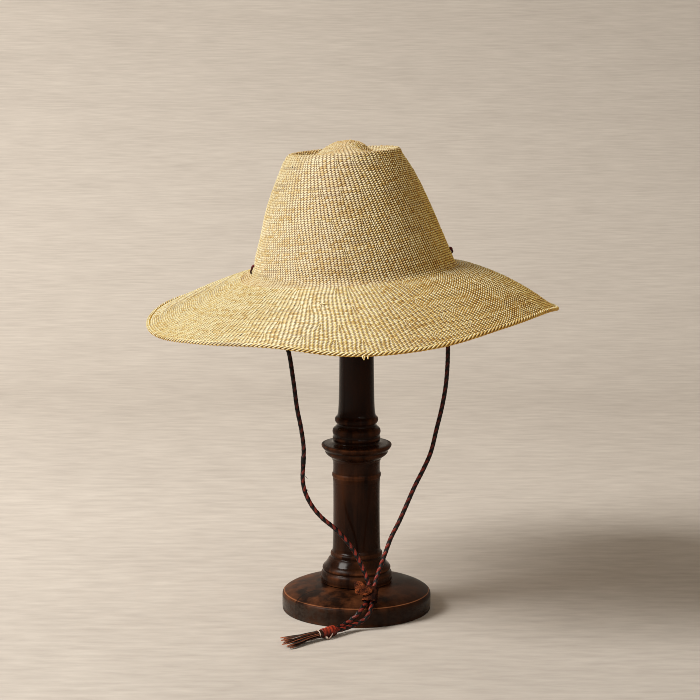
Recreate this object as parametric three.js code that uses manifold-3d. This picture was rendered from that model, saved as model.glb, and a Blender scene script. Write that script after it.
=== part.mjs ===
// A woven straw sun hat with a braided leather chin cord, on a turned wooden stand.
// Millimetres, +Z up, +X to the right and -Y to the front of the hat. The origin is the middle
// of the underside of the stand.
import * as THREE from "three";
import { mergeVertices } from "three/addons/utils/BufferGeometryUtils.js";
import Module from "manifold-3d";

const wasm = await Module();
wasm.setup();

const GAP = 0.3; // clearance between neighbouring pieces
const STRAW_WALL = 2.0; // thickness of the woven straw
const BORDER_DIAMETER = 3.6; // plaited border round the brim
const LACE_DIAMETER = 2.2; // leather lace through the crown
const LACE_KNOT = 3.2; // radius of the knot that ends it inside
const LACE_HOLE = 3.4; // diameter of the holes in the straw
const CORD_DIAMETER = 4.6; // braided chin cord
const CORD_STEP = 10; // length of one step of a cord's tube
const HAT_STEPS = 60; // steps round the hat
const STAND_STEPS = 26; // steps round the turned stand
const CORD_SIDES = 8;
const BORDER_SIDES = 6;
const LACE_SIDES = 6;
const LACE_STEPS = 22; // steps along a lace
const HOLE_SIDES = 12;
const KNOT_SIDES = 16;
const BAND_CURVE_STEPS = 6; // steps of each half round of the slider's band

const FINISH = {
  straw: { color: 0xd9b877, roughness: 0.75, metalness: 0 },
  wood: { color: 0x24120c, roughness: 0.3, metalness: 0 },
  blackLeather: { color: 0x1b1313, roughness: 0.5, metalness: 0 },
  redLeather: { color: 0xa83318, roughness: 0.5, metalness: 0 },
  suede: { color: 0x7a3c1c, roughness: 0.9, metalness: 0 },
};

// The brim by bearing, anticlockwise from the right-hand side seen from above: the height of its
// plaited border, and how far its middle stands above the straight line from foot to border.
const BRIM_MIDDLE_X = -4; // the brim hangs a little to the left of the stand
const BORDER_REACH = 194.7;
const BRIM = [
  { bearing: 0, border: 296.5, bow: 7 },
  { bearing: 22.5, border: 290, bow: 6 },
  { bearing: 45, border: 285, bow: 2 },
  { bearing: 67.5, border: 283, bow: 1 },
  { bearing: 90, border: 285, bow: 1 },
  { bearing: 112.5, border: 288, bow: 1 },
  { bearing: 135, border: 291.5, bow: 3 },
  { bearing: 157.5, border: 289, bow: 2 },
  { bearing: 180, border: 284, bow: -1 },
  { bearing: 202.5, border: 283, bow: -2 },
  { bearing: 225, border: 288.6, bow: -2 },
  { bearing: 247.5, border: 293.4, bow: 0 },
  { bearing: 270, border: 288.4, bow: 1 },
  { bearing: 292.5, border: 292.9, bow: 2 },
  { bearing: 315, border: 303.5, bow: 3 },
  { bearing: 337.5, border: 306.3, bow: 4 },
];
const BRIM_SHARES = [0.72, 0.42, 0.17]; // rows of the brim, as shares of the way out from its foot

// Rings of the crown wall from the foot up: middle, half width, half depth, height, and how much
// higher its right side and its front stand than the middle.
const WALL = [
  { row: "foot", x: -2.6, width: 96.8, depth: 101, height: 335.6, right: 5.2, front: 2.5 },
  { row: "flare", x: -3.3, width: 92.6, depth: 97.5, height: 348, right: 2.6, front: 2.5 },
  { row: "low", x: -4.9, width: 86.3, depth: 91.5, height: 366.8, right: 2.2, front: 2.5 },
  { row: "middle", x: -7.8, width: 77.5, depth: 82.5, height: 393.7, right: 2.3, front: 2.6 },
  { row: "high", x: -9.0, width: 70.6, depth: 76, height: 411.1, right: 2.4, front: 2.8 },
  { row: "shoulder", x: -10.4, width: 63.4, depth: 69.5, height: 426.8, right: 2.8, front: 3 },
  { row: "brow", x: -12, width: 56, depth: 62, height: 440.2, right: 2.9, front: 3.4 },
  { row: "edge", x: -11.7, width: 50.8, depth: 56.5, height: 447, right: 3.5, front: 3.6 },
];

// The dented top inside that edge: its heights at shares of the way out from the peak, which the
// stand pushes up.
const PEAK = new THREE.Vector3(-6, 0, 457);
const DENT_SHARES = [0.85, 0.65, 0.45, 0.25];
const DENT = [
  { bearing: 0, heights: [443.5, 442.5, 447, 454] },
  { bearing: 45, heights: [442, 442, 447, 454] },
  { bearing: 90, heights: [441, 443, 448.5, 454.8] },
  { bearing: 135, heights: [438.5, 440, 446.5, 454] },
  { bearing: 180, heights: [439.5, 440, 448.5, 454.8] },
  { bearing: 225, heights: [444, 444.5, 450.5, 455] },
  { bearing: 270, heights: [452.5, 454, 455, 456.2] },
  { bearing: 315, heights: [447, 447, 449.5, 454.5] },
];

// Facet rows of the hat on each stretch between two rows of the tables, from border to peak.
const STRETCH_STEPS = [1, 1, 1, 2, 1, 1, 1, 1, 1, 1, 1, 2, 1, 1, 1, 2];

// The leather laces: the stitch outside the crown runs between these heights.
const LACES = [
  { side: "left", bearing: 184, low: 330, high: 338 },
  { side: "right", bearing: 2, low: 348.5, high: 353.5 },
];

// The chin cord's two runs, from the lace knots inside the crown through the slider to the knot.
const SLIDER = {
  top: new THREE.Vector3(14.2, -58.2, 37.2),
  foot: new THREE.Vector3(12.2, -65.6, 24.8),
};
const SLIDER_WALL = 1.1;
const SLIDER_PLAY = 1; // clearance round the cords in the slider
// The slider's flat tab, from its left edge to its right one across the cords, and along them.
const TAB = { left: -15.6, right: 1.4, top: -2.5, foot: 9.8, thickness: 1.6 };
const CORD_SPREAD = CORD_DIAMETER / 2 + GAP; // half the distance between the runs in the slider
const LEFT_RUN = [
  [-93.8, -6.9, 323.3],
  [-86.5, -7, 311],
  [-77.6, -6, 286],
  [-70, -6, 268],
  [-65.2, -6, 255.8],
  [-60.6, -10, 228.7],
  [-56.8, -14, 200.6],
  [-53, -17, 181.8],
  [-50.6, -20, 163.2],
  [-51.1, -22, 148.2],
  [-51.5, -25, 133.3],
  [-49.2, -27, 122.1],
  [-42.6, -30, 109.2],
  [-33.1, -34, 98.6],
  [-21.7, -38, 89.9],
  [-12.4, -42, 81.2],
  [-2.9, -46, 69.6],
  [3.6, -50, 58],
  [8.8, -53.8, 46.5],
];
const RIGHT_RUN = [
  [84.3, 3.2, 343.2],
  [85.8, 1.6, 326],
  [86.8, -1, 305],
  [87.4, -3.5, 280],
  [87.3, -5, 259.5],
  [86.8, -8, 241.8],
  [85, -11, 221.2],
  [81.2, -14, 200.6],
  [76.5, -18, 182.1],
  [70.8, -22, 159.7],
  [64.2, -26, 145.2],
  [55.6, -30, 128.7],
  [48.1, -34, 112.2],
  [40.5, -38, 95.7],
  [32.9, -42, 81.2],
  [27.3, -46, 66.7],
  [22.9, -50, 55],
  [19.4, -54, 46],
];
const LEFT_TAIL = [
  [6.2, -73, 21.8],
  [1.4, -79.2, 16.8],
  [-4.6, -80.6, 11.6],
  [-12.4, -84.4, 7.2],
];
const RIGHT_TAIL = [
  [13.7, -72.2, 20.7],
  [11.4, -77.8, 15.8],
  [6.8, -78.6, 10.6],
  [-1.2, -81.4, 7],
  [-9.6, -88.4, 5.4],
];

// The wrap that holds both cord ends: its start, its height over the floor, and its outline.
const KNOT = { x: -20.8, y: -96, lift: 5.5, radius: 5.2, length: 16.5, heading: 222 };
const KNOT_OUTLINE = [
  { along: 0, radius: 0.86 },
  { along: 0.1, radius: 0.98 },
  { along: 0.35, radius: 1 },
  { along: 0.7, radius: 0.97 },
  { along: 0.93, radius: 1 },
  { along: 1, radius: 0.9 },
];
const TASSEL_HEAD = { radius: 3.9, length: 5 };
const TASSEL_HEADING = 211;
const STRIP = { width: 2.4, thickness: 1.1, steps: 5 };
// How a strip goes from its root to its tip: the share of its length, and of its sideways way.
const STRIP_COURSE = [
  { along: 0, drift: 0 },
  { along: 0.35, drift: 0.25 },
  { along: 0.7, drift: 0.7 },
  { along: 1, drift: 1 },
];
// Strips of the tassel: length, sideways place and height of the tip, sideways and upward place
// at the head.
const STRIPS = [
  { length: 35.5, side: -11, lift: 4.6, rootSide: -2.6, rootLift: 0.8 },
  { length: 34, side: -7, lift: 4.5, rootSide: -2.2, rootLift: 2.2 },
  { length: 32.5, side: -8.8, lift: 2, rootSide: -1.4, rootLift: -2.6 },
  { length: 42, side: 1.8, lift: 6.4, rootSide: -0.6, rootLift: 2.8 },
  { length: 36, side: 0.8, lift: 1.7, rootSide: 0, rootLift: 0 },
  { length: 41.3, side: 5, lift: 5.2, rootSide: 0.8, rootLift: 2.4 },
  { length: 43.6, side: 6.4, lift: 4, rootSide: 1.4, rootLift: 1.2 },
  { length: 38, side: 9, lift: 1.8, rootSide: 2, rootLift: -2.2 },
  { length: 42, side: 12.4, lift: 3.4, rootSide: 2.8, rootLift: 0.6 },
  { length: 38.8, side: 13, lift: 1.5, rootSide: 2.6, rootLift: -1 },
];

// Turned profiles of the stand, from the axis at the bottom, radius then height.
const SEAT_HEIGHT = 27.4; // where the post stands on the base
const BASE_PROFILE = [
  [0, 0],
  [70.9, 0],
  [72.1, 1.2],
  [72.1, 15.4],
  [71.5, 17.2],
  [70.2, 18.5],
  [67, 20.5],
  [61, 23],
  [50, 25.4],
  [35, SEAT_HEIGHT],
  [0, SEAT_HEIGHT],
];
const POST_PROFILE = [
  [0, SEAT_HEIGHT + GAP],
  [34, SEAT_HEIGHT + GAP],
  [34.5, 29],
  [34.5, 36],
  [33.2, 38.2],
  [32, 39.2],
  [33.3, 41.4],
  [31.8, 44],
  [29.6, 46.2],
  [28.2, 48.6],
  [26.2, 51.6],
  [24.6, 53],
  [25.4, 55.2],
  [24.6, 57.2],
  [22.7, 58.4],
  [22.3, 130.8],
  [23.6, 132],
  [23.6, 135],
  [22.5, 136.2],
  [22.6, 147],
  [23.8, 149],
  [24.8, 151.2],
  [28.4, 153.4],
  [30.4, 156],
  [30.6, 158.2],
  [33, 160.6],
  [34, 163],
  [33.2, 164.2],
  [22.4, 164.8],
  [22.4, 168],
  [23.2, 170],
  [22.2, 172.4],
  [23.4, 176],
  [22.6, 179],
  [19.2, 182],
  [19, 184],
  [21, 186.6],
  [20.6, 189.8],
  [18.4, 191.6],
  [17.6, 197],
  [17.1, 207],
  [16.5, 248],
  [15.4, 400],
  [14.4, 432],
  [12.2, 439],
  [9.4, 444.6],
  [5.6, 449.8],
  [0, 453.2],
];

const hatOnStand = new THREE.Group();

function addMesh(name, geometry, finish) {
  const mesh = new THREE.Mesh(geometry, new THREE.MeshStandardMaterial(finish));
  mesh.name = name;
  hatOnStand.add(mesh);
}

function solidOf(geometry) {
  const bare = geometry.clone();
  bare.deleteAttribute("normal");
  bare.deleteAttribute("uv");
  const merged = mergeVertices(bare, 1e-4);
  return new wasm.Manifold(
    new wasm.Mesh({
      numProp: 3,
      vertProperties: merged.attributes.position.array,
      triVerts: new Uint32Array(merged.index.array),
    }),
  );
}

function geometryOf(solid) {
  const mesh = solid.getMesh();
  const geometry = new THREE.BufferGeometry();
  geometry.setAttribute("position", new THREE.BufferAttribute(mesh.vertProperties, 3));
  geometry.setIndex(new THREE.BufferAttribute(mesh.triVerts, 1));
  geometry.computeVertexNormals();
  return geometry;
}

function joined(geometries) {
  return geometryOf(geometries.map(solidOf).reduce((whole, piece) => whole.add(piece)));
}

function polygon(radius, sides) {
  return new THREE.Shape(new THREE.EllipseCurve(0, 0, radius, radius).getPoints(sides).slice(0, sides));
}

function tube(curve, radius, sides, steps) {
  return new THREE.ExtrudeGeometry(polygon(radius, sides), {
    steps,
    extrudePath: curve,
    bevelEnabled: false,
  });
}

// A value read round a table of evenly spaced bearings, on a smooth closed curve.
function roundTable(rows, bearing, read) {
  const place = ((bearing / 360) % 1) * rows.length;
  const first = Math.floor(place);
  const t = place - first;
  const [a, b, c, d] = [-1, 0, 1, 2].map((k) => read(rows[(first + k + rows.length) % rows.length]));
  return b + 0.5 * t * (c - a + t * (2 * a - 5 * b + 4 * c - d + t * (3 * (b - c) + d - a)));
}

function wallPoint(ring, bearing) {
  const angle = THREE.MathUtils.degToRad(bearing);
  return new THREE.Vector3(
    ring.x + ring.width * Math.cos(angle),
    ring.depth * Math.sin(angle),
    ring.height + ring.right * Math.cos(angle) - ring.front * Math.sin(angle),
  );
}

function borderPoint(bearing) {
  const angle = THREE.MathUtils.degToRad(bearing);
  return new THREE.Vector3(
    BRIM_MIDDLE_X + BORDER_REACH * Math.cos(angle),
    BORDER_REACH * Math.sin(angle),
    roundTable(BRIM, bearing, (row) => row.border),
  );
}

// The outer face of the hat along one bearing, from just inside the border to the peak.
function meridian(bearing) {
  const foot = wallPoint(WALL[0], bearing);
  const border = borderPoint(bearing);
  const inset = BORDER_DIAMETER / 2 + GAP;
  const edge = border.clone().lerp(foot, inset / border.distanceTo(foot));
  const bow = roundTable(BRIM, bearing, (row) => row.bow);
  const brim = BRIM_SHARES.map((share) => {
    const point = foot.clone().lerp(edge, share);
    point.z += bow * 4 * share * (1 - share);
    return point;
  });
  const wall = WALL.map((ring) => wallPoint(ring, bearing));
  const dent = DENT_SHARES.map((share, k) => {
    const point = PEAK.clone().lerp(wall[wall.length - 1], share);
    point.z = roundTable(DENT, bearing, (row) => row.heights[k]);
    return point;
  });
  return new THREE.CatmullRomCurve3([edge, ...brim, ...wall, ...dent, PEAK.clone()]);
}

// Places along the meridian where the facet rows lie, from 0 at the border to 1 at the peak.
function rowPlaces() {
  const places = STRETCH_STEPS.flatMap((steps, stretch) =>
    Array.from({ length: steps }, (_, k) => (stretch + k / steps) / STRETCH_STEPS.length),
  );
  return [...places, 1];
}

// The outward direction of the hat's outer face.
function outward(bearing, place) {
  const NEAR = 0.004;
  const along = meridian(bearing);
  const inner = along.getPoint(Math.min(place + NEAR, 1));
  const outer = along.getPoint(Math.max(place - NEAR, 0));
  const beside = meridian(bearing + 1).getPoint(place).sub(along.getPoint(place));
  return beside.cross(inner.sub(outer)).normalize();
}

function hatShell() {
  const places = rowPlaces();
  const rows = places.length - 1; // the last one is the peak itself
  const points = [];
  for (const inside of [false, true]) {
    for (let i = 0; i < HAT_STEPS; i++) {
      const bearing = (360 * i) / HAT_STEPS;
      const curve = meridian(bearing);
      for (let j = 0; j < rows; j++) {
        const point = curve.getPoint(places[j]);
        if (inside) point.addScaledVector(outward(bearing, places[j]), -STRAW_WALL);
        points.push(point);
      }
    }
    points.push(PEAK.clone().setZ(PEAK.z - (inside ? STRAW_WALL : 0)));
  }
  const layer = HAT_STEPS * rows + 1;
  const at = (i, j, inside) => (i % HAT_STEPS) * rows + j + (inside ? layer : 0);
  const faces = [];
  const face = (a, b, c, inside) => faces.push(...(inside ? [a, c, b] : [a, b, c]));
  for (let i = 0; i < HAT_STEPS; i++) {
    for (const inside of [false, true]) {
      for (let j = 0; j + 1 < rows; j++) {
        face(at(i, j, inside), at(i + 1, j, inside), at(i + 1, j + 1, inside), inside);
        face(at(i, j, inside), at(i + 1, j + 1, inside), at(i, j + 1, inside), inside);
      }
      const peak = layer - 1 + (inside ? layer : 0);
      face(at(i, rows - 1, inside), at(i + 1, rows - 1, inside), peak, inside);
    }
    faces.push(at(i, 0, false), at(i, 0, true), at(i + 1, 0, true));
    faces.push(at(i, 0, false), at(i + 1, 0, true), at(i + 1, 0, false));
  }
  const geometry = new THREE.BufferGeometry().setFromPoints(points);
  geometry.setIndex(faces);
  return geometry;
}

// The place at a height on the crown wall or the brim's innermost stretch: the point and the way out.
function wallFrame(bearing, height) {
  const curve = meridian(bearing);
  let low = BRIM_SHARES.length / STRETCH_STEPS.length;
  let high = (BRIM_SHARES.length + WALL.length) / STRETCH_STEPS.length;
  while (high - low > 1e-5) {
    const middle = (low + high) / 2;
    if (curve.getPoint(middle).z < height) low = middle;
    else high = middle;
  }
  return { point: curve.getPoint(low), out: outward(bearing, low) };
}

// One lace with its two holes: a stitch outside the wall, both ends tied in a knot inside.
function lace({ bearing, low, high }) {
  const radius = LACE_DIAMETER / 2;
  const foot = wallFrame(bearing, low);
  const head = wallFrame(bearing, high);
  const proud = radius + 2 * GAP;
  const inner = STRAW_WALL + GAP + radius;
  const knot = foot.point.clone().addScaledVector(foot.out, -STRAW_WALL - GAP - LACE_KNOT);
  const off = (frame, distance) => frame.point.clone().addScaledVector(frame.out, distance);
  const rise = head.point.clone().sub(foot.point).normalize();
  const corner = (frame, up) => off(frame, proud).addScaledVector(rise, up * radius);
  const path = new THREE.CatmullRomCurve3([
    knot,
    off(foot, -STRAW_WALL),
    off(foot, -STRAW_WALL / 2),
    off(foot, 0),
    corner(foot, 1),
    off(foot, proud).lerp(off(head, proud), 0.5),
    corner(head, -1),
    off(head, 0),
    off(head, -STRAW_WALL / 2),
    off(head, -STRAW_WALL),
    off(head, -inner - LACE_KNOT / 2).addScaledVector(rise, -radius),
    knot.clone().addScaledVector(rise, radius),
  ]);
  const ball = new THREE.SphereGeometry(LACE_KNOT, LACE_SIDES + 4, LACE_SIDES + 1);
  ball.translate(...knot.toArray());
  const holes = [foot, head].map((frame) => {
    const hole = new THREE.CylinderGeometry(LACE_HOLE / 2, LACE_HOLE / 2, 4 * STRAW_WALL, HOLE_SIDES);
    const turn = new THREE.Quaternion().setFromUnitVectors(new THREE.Vector3(0, 1, 0), frame.out);
    return hole.applyQuaternion(turn).translate(...off(frame, -STRAW_WALL / 2).toArray());
  });
  return { geometry: joined([tube(path, radius, LACE_SIDES, LACE_STEPS), ball]), holes };
}

function addHat() {
  const laces = LACES.map(lace);
  const holes = laces.flatMap((one) => one.holes).map(solidOf);
  const woven = holes.reduce((whole, hole) => whole.subtract(hole), solidOf(hatShell()));
  addMesh("crown_and_brim", geometryOf(woven), FINISH.straw);
  LACES.forEach(({ side }, k) => addMesh(`lace_${side}`, laces[k].geometry, FINISH.blackLeather));
}

function addBorder() {
  const faces = [];
  const points = [];
  for (let i = 0; i < HAT_STEPS; i++) {
    const bearing = (360 * i) / HAT_STEPS;
    const centre = borderPoint(bearing);
    const across = centre.clone().sub(wallPoint(WALL[0], bearing)).normalize();
    const along = borderPoint(bearing + 1).sub(centre).normalize();
    const up = across.clone().cross(along).normalize();
    for (let k = 0; k < BORDER_SIDES; k++) {
      const angle = (2 * Math.PI * (k + 0.5)) / BORDER_SIDES;
      const side = across.clone().multiplyScalar((BORDER_DIAMETER / 2) * Math.cos(angle));
      points.push(centre.clone().add(side).addScaledVector(up, (BORDER_DIAMETER / 2) * Math.sin(angle)));
      const [a, b] = [i, (i + 1) % HAT_STEPS].map((step) => step * BORDER_SIDES + k);
      const [c, d] = [b, a].map((v) => v - k + ((k + 1) % BORDER_SIDES));
      faces.push(a, b, c, a, c, d);
    }
  }
  const geometry = new THREE.BufferGeometry().setFromPoints(points);
  geometry.setIndex(faces);
  geometry.computeVertexNormals();
  addMesh("brim_border", geometry, FINISH.straw);
}

function addStand() {
  const turned = (profile) => {
    const outline = profile.map(([radius, height]) => new THREE.Vector2(radius, height));
    return new THREE.LatheGeometry(outline, STAND_STEPS).rotateX(Math.PI / 2);
  };
  addMesh("stand_base", turned(BASE_PROFILE), FINISH.wood);
  addMesh("stand_post", turned(POST_PROFILE), FINISH.wood);
}

// The slider's own directions: down along the cords, across both cords, and out of its front.
function sliderFrame() {
  const down = SLIDER.foot.clone().sub(SLIDER.top).normalize();
  const across = new THREE.Vector3(1, 0, 0).addScaledVector(down, -down.x).normalize();
  return { down, across, front: down.clone().cross(across) };
}

// Flat directions over the floor: forward along a heading, and to the left of it.
function floorFrame(heading) {
  const angle = THREE.MathUtils.degToRad(heading);
  const along = new THREE.Vector3(Math.cos(angle), Math.sin(angle), 0);
  return { along, across: new THREE.Vector3(0, 0, 1).cross(along) };
}

function knotFrame() {
  return { start: new THREE.Vector3(KNOT.x, KNOT.y, KNOT.lift), ...floorFrame(KNOT.heading) };
}

function cordRoute(run, tail, side) {
  const { across } = sliderFrame();
  const knot = knotFrame();
  const beside = (point) => point.clone().addScaledVector(across, side * CORD_SPREAD);
  const end = knot.start
    .clone()
    .addScaledVector(knot.across, side * CORD_SPREAD)
    .addScaledVector(knot.along, -GAP);
  return [
    ...run.map((point) => new THREE.Vector3(...point)),
    beside(SLIDER.top),
    beside(SLIDER.foot),
    ...tail.map((point) => new THREE.Vector3(...point)),
    end.clone().addScaledVector(knot.along, -CORD_DIAMETER / 2),
    end,
  ];
}

function addCords() {
  const routes = { left: cordRoute(LEFT_RUN, LEFT_TAIL, -1), right: cordRoute(RIGHT_RUN, RIGHT_TAIL, 1) };
  for (const [side, points] of Object.entries(routes)) {
    const curve = new THREE.CatmullRomCurve3(points);
    const steps = Math.round(curve.getLength() / CORD_STEP);
    const geometry = tube(curve, CORD_DIAMETER / 2, CORD_SIDES, steps);
    addMesh(`chin_cord_${side}`, geometry, FINISH.blackLeather);
  }
}

function stadium(Path, halfWidth, halfDepth) {
  const path = new Path();
  const reach = halfWidth - halfDepth;
  path.absarc(reach, 0, halfDepth, -Math.PI / 2, Math.PI / 2, false);
  path.absarc(-reach, 0, halfDepth, Math.PI / 2, (3 * Math.PI) / 2, false);
  return path;
}

// A leather band round both cords, with a flat suede tab across its front and out to its left.
function addSlider() {
  const { down, across, front } = sliderFrame();
  const halfDepth = CORD_DIAMETER / 2 + SLIDER_PLAY;
  const halfWidth = CORD_SPREAD + halfDepth;
  const section = stadium(THREE.Shape, halfWidth + SLIDER_WALL, halfDepth + SLIDER_WALL);
  section.holes.push(stadium(THREE.Path, halfWidth, halfDepth));
  const band = new THREE.ExtrudeGeometry(section, {
    depth: SLIDER.top.distanceTo(SLIDER.foot),
    bevelEnabled: false,
    curveSegments: BAND_CURVE_STEPS,
  });
  const tab = new THREE.BoxGeometry(TAB.right - TAB.left, TAB.thickness, TAB.foot - TAB.top);
  const sunk = SLIDER_WALL / 2; // how deep the tab is set into the band's front
  const tabDepth = halfDepth + SLIDER_WALL - sunk + TAB.thickness / 2;
  tab.translate((TAB.left + TAB.right) / 2, tabDepth, (TAB.top + TAB.foot) / 2);
  const turn = new THREE.Matrix4().makeBasis(across, front, down).setPosition(SLIDER.top);
  addMesh("cord_slider", joined([band, tab]).applyMatrix4(turn), FINISH.suede);
}

function addKnot() {
  const { start, along } = knotFrame();
  const { radius, length } = KNOT;
  const outline = KNOT_OUTLINE.map((row) => new THREE.Vector2(row.radius * radius, row.along * length));
  const profile = [new THREE.Vector2(0, 0), ...outline, new THREE.Vector2(0, length)];
  const turn = new THREE.Quaternion().setFromUnitVectors(new THREE.Vector3(0, 1, 0), along);
  const barrel = new THREE.LatheGeometry(profile, KNOT_SIDES).applyQuaternion(turn);
  addMesh("cord_knot", barrel.translate(...start.toArray()), FINISH.redLeather);
}

// Leather strips fanned over the floor, all grown out of one short head.
function addTassel() {
  const { start, along } = knotFrame();
  const fan = floorFrame(TASSEL_HEADING);
  const root = start.clone().addScaledVector(along, KNOT.length + GAP);
  const turn = new THREE.Quaternion().setFromUnitVectors(new THREE.Vector3(0, 1, 0), along);
  const { radius, length: headLength } = TASSEL_HEAD;
  const head = new THREE.CylinderGeometry(radius, radius, headLength, KNOT_SIDES)
    .translate(0, headLength / 2, 0)
    .applyQuaternion(turn)
    .translate(...root.toArray());
  const strips = STRIPS.map(({ length, side, lift, rootSide, rootLift }) => {
    const low = KNOT.lift + rootLift;
    const neck = root.clone().addScaledVector(along, headLength / 2);
    const course = STRIP_COURSE.map((row) =>
      neck
        .clone()
        .addScaledVector(fan.along, row.along * length)
        .addScaledVector(fan.across, THREE.MathUtils.lerp(rootSide, side, row.drift))
        .setZ(THREE.MathUtils.lerp(low, lift, row.drift)),
    );
    const path = new THREE.CatmullRomCurve3(course);
    const section = new THREE.Shape();
    const [w, t] = [STRIP.width / 2, STRIP.thickness / 2];
    section.moveTo(-t, -w).lineTo(t, -w).lineTo(t, w).lineTo(-t, w);
    return new THREE.ExtrudeGeometry(section, { steps: STRIP.steps, extrudePath: path, bevelEnabled: false });
  });
  addMesh("tassel", joined([head, ...strips]), FINISH.blackLeather);
}

addStand();
addHat();
addBorder();
addCords();
addSlider();
addKnot();
addTassel();

export default hatOnStand;
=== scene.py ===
# A woven straw sun hat with a braided leather chin cord, on a turned wooden stand.
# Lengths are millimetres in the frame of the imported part, and become metres in shape(). Materials and lights
# are given in metres.
import math

import bpy
import numpy as np
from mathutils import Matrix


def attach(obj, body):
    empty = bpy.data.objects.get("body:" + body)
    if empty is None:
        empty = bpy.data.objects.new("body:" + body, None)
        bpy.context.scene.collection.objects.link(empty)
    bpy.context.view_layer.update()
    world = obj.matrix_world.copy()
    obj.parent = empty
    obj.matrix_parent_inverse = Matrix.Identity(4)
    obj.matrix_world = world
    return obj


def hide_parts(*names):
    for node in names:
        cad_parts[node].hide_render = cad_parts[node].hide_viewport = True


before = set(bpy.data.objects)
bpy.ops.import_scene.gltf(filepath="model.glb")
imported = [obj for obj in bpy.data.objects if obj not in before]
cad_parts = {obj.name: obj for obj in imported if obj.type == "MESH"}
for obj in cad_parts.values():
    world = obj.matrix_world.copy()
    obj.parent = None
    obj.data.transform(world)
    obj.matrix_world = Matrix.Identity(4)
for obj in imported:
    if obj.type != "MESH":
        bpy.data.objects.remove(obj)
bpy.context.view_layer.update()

MM = 0.001
BODY = "root"
TURN = 2 * math.pi
rng = np.random.default_rng(7)


# Camera, at the photograph's angle
CAMERA_AT = (-6.3, -2650.0, 765.0)
CAMERA_PITCH = 10.885  # degrees below the horizon
IMAGE_WIDTH = 700
FOCAL_PIXELS = 2819.0
SENSOR_WIDTH = 36.0

camera_data = bpy.data.cameras.new("camera")
camera_data.sensor_fit = "HORIZONTAL"
camera_data.sensor_width = SENSOR_WIDTH
camera_data.lens = SENSOR_WIDTH * FOCAL_PIXELS / IMAGE_WIDTH
camera = bpy.data.objects.new("camera", camera_data)
camera.location = [value * MM for value in CAMERA_AT]
camera.rotation_euler = (math.radians(90 - CAMERA_PITCH), 0, 0)
bpy.context.scene.collection.objects.link(camera)
bpy.context.scene.camera = camera


# Small helpers
def unit(vectors):
    return vectors / np.maximum(np.linalg.norm(vectors, axis=-1, keepdims=True), 1e-12)


def mix(a, b, share):
    return a + (b - a) * share


def smooth(share):
    share = np.clip(share, 0, 1)
    return share * share * (3 - 2 * share)


def catmull_rom(points, count):
    """Centripetal curves through points (..., n, 3), at count places."""
    last = points.shape[-2] - 1
    before = 2 * points[..., :1, :] - points[..., 1:2, :]
    after = 2 * points[..., -1:, :] - points[..., -2:-1, :]
    whole = np.concatenate([before, points, after], axis=-2)
    places = np.linspace(0, 1, count) * last
    stretch = np.minimum(places.astype(int), last - 1)
    t = (places - stretch)[:, None]
    p0, p1, p2, p3 = (whole[..., stretch + k, :] for k in range(4))
    gaps = (np.linalg.norm(b - a, axis=-1, keepdims=True) for a, b in ((p0, p1), (p1, p2), (p2, p3)))
    g0, g1, g2 = (np.maximum(np.sqrt(gap), 1e-4) for gap in gaps)
    start = ((p1 - p0) / g0 - (p2 - p0) / (g0 + g1) + (p2 - p1) / g1) * g1
    end = ((p2 - p1) / g1 - (p3 - p1) / (g1 + g2) + (p3 - p2) / g2) * g1
    cube = 2 * p1 - 2 * p2 + start + end
    square = -3 * p1 + 3 * p2 - 2 * start - end
    return p1 + t * (start + t * (square + t * cube))


def evened(line, count):
    """count points at equal steps along a line."""
    along = np.concatenate([[0], np.cumsum(np.linalg.norm(np.diff(line, axis=0), axis=1))])
    at = np.linspace(0, along[-1], count)
    return np.stack([np.interp(at, along, line[:, axis]) for axis in range(3)], axis=1)


def length_of(line):
    return float(np.linalg.norm(np.diff(line, axis=0), axis=1).sum())


def curve(points, fine, count):
    """A smooth line through points: count even steps of one that is found at fine places."""
    return evened(catmull_rom(np.array(points, float), fine), count)


def grid_faces(rows, columns, closed, first=0):
    """Quads between the rings of a grid, whose vertices are counted from first, row by row."""
    wide = columns if closed else columns - 1
    row, column = np.meshgrid(np.arange(rows - 1), np.arange(wide), indexing="ij")
    row, column = row.ravel(), column.ravel()
    following = (column + 1) % columns
    near, far = first + row * columns, first + (row + 1) * columns
    return np.stack([near + column, near + following, far + following, far + column], axis=1)


def shape(name, material, points, faces):
    """An object from points in millimetres and groups of faces."""
    data = bpy.data.meshes.new(name)
    data.from_pydata((points * MM).tolist(), [], [face for group in faces for face in group.tolist()])
    data.polygons.foreach_set("use_smooth", np.ones(len(data.polygons), bool))
    data.materials.append(material)
    made = bpy.data.objects.new(name, data)
    bpy.context.scene.collection.objects.link(made)
    return made


def mesh(name, node, slot, material, points, faces, shades=None, uv=None):
    """A piece that stands for a node, with a shade for each point or a map for each corner."""
    piece = shape(name, material, points, faces)
    if uv is not None:
        piece.data.uv_layers.new(name="weave").data.foreach_set("uv", uv.astype(np.float32).ravel())
    if shades is not None:
        layer = piece.data.attributes.new("shade", "FLOAT", "POINT")
        layer.data.foreach_set("value", shades.astype(np.float32))
    piece.data.validate()
    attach(piece, BODY)
    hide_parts(node)
    return piece


def carried(line, closed=False):
    """Directions across a line that don't twist along it: two sides and the way along."""
    along = unit(np.gradient(line, axis=0))
    if closed:
        along = unit(np.roll(line, -1, axis=0) - np.roll(line, 1, axis=0))
    side = np.zeros_like(line)
    side[0] = unit(np.cross(along[0], [0.0, 0.0, 1.0] if abs(along[0][2]) < 0.9 else [0.0, 1.0, 0.0]))
    for k in range(1, len(line)):
        side[k] = unit(side[k - 1] - along[k] * np.dot(side[k - 1], along[k]))
    return side, np.cross(along, side), along


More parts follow.
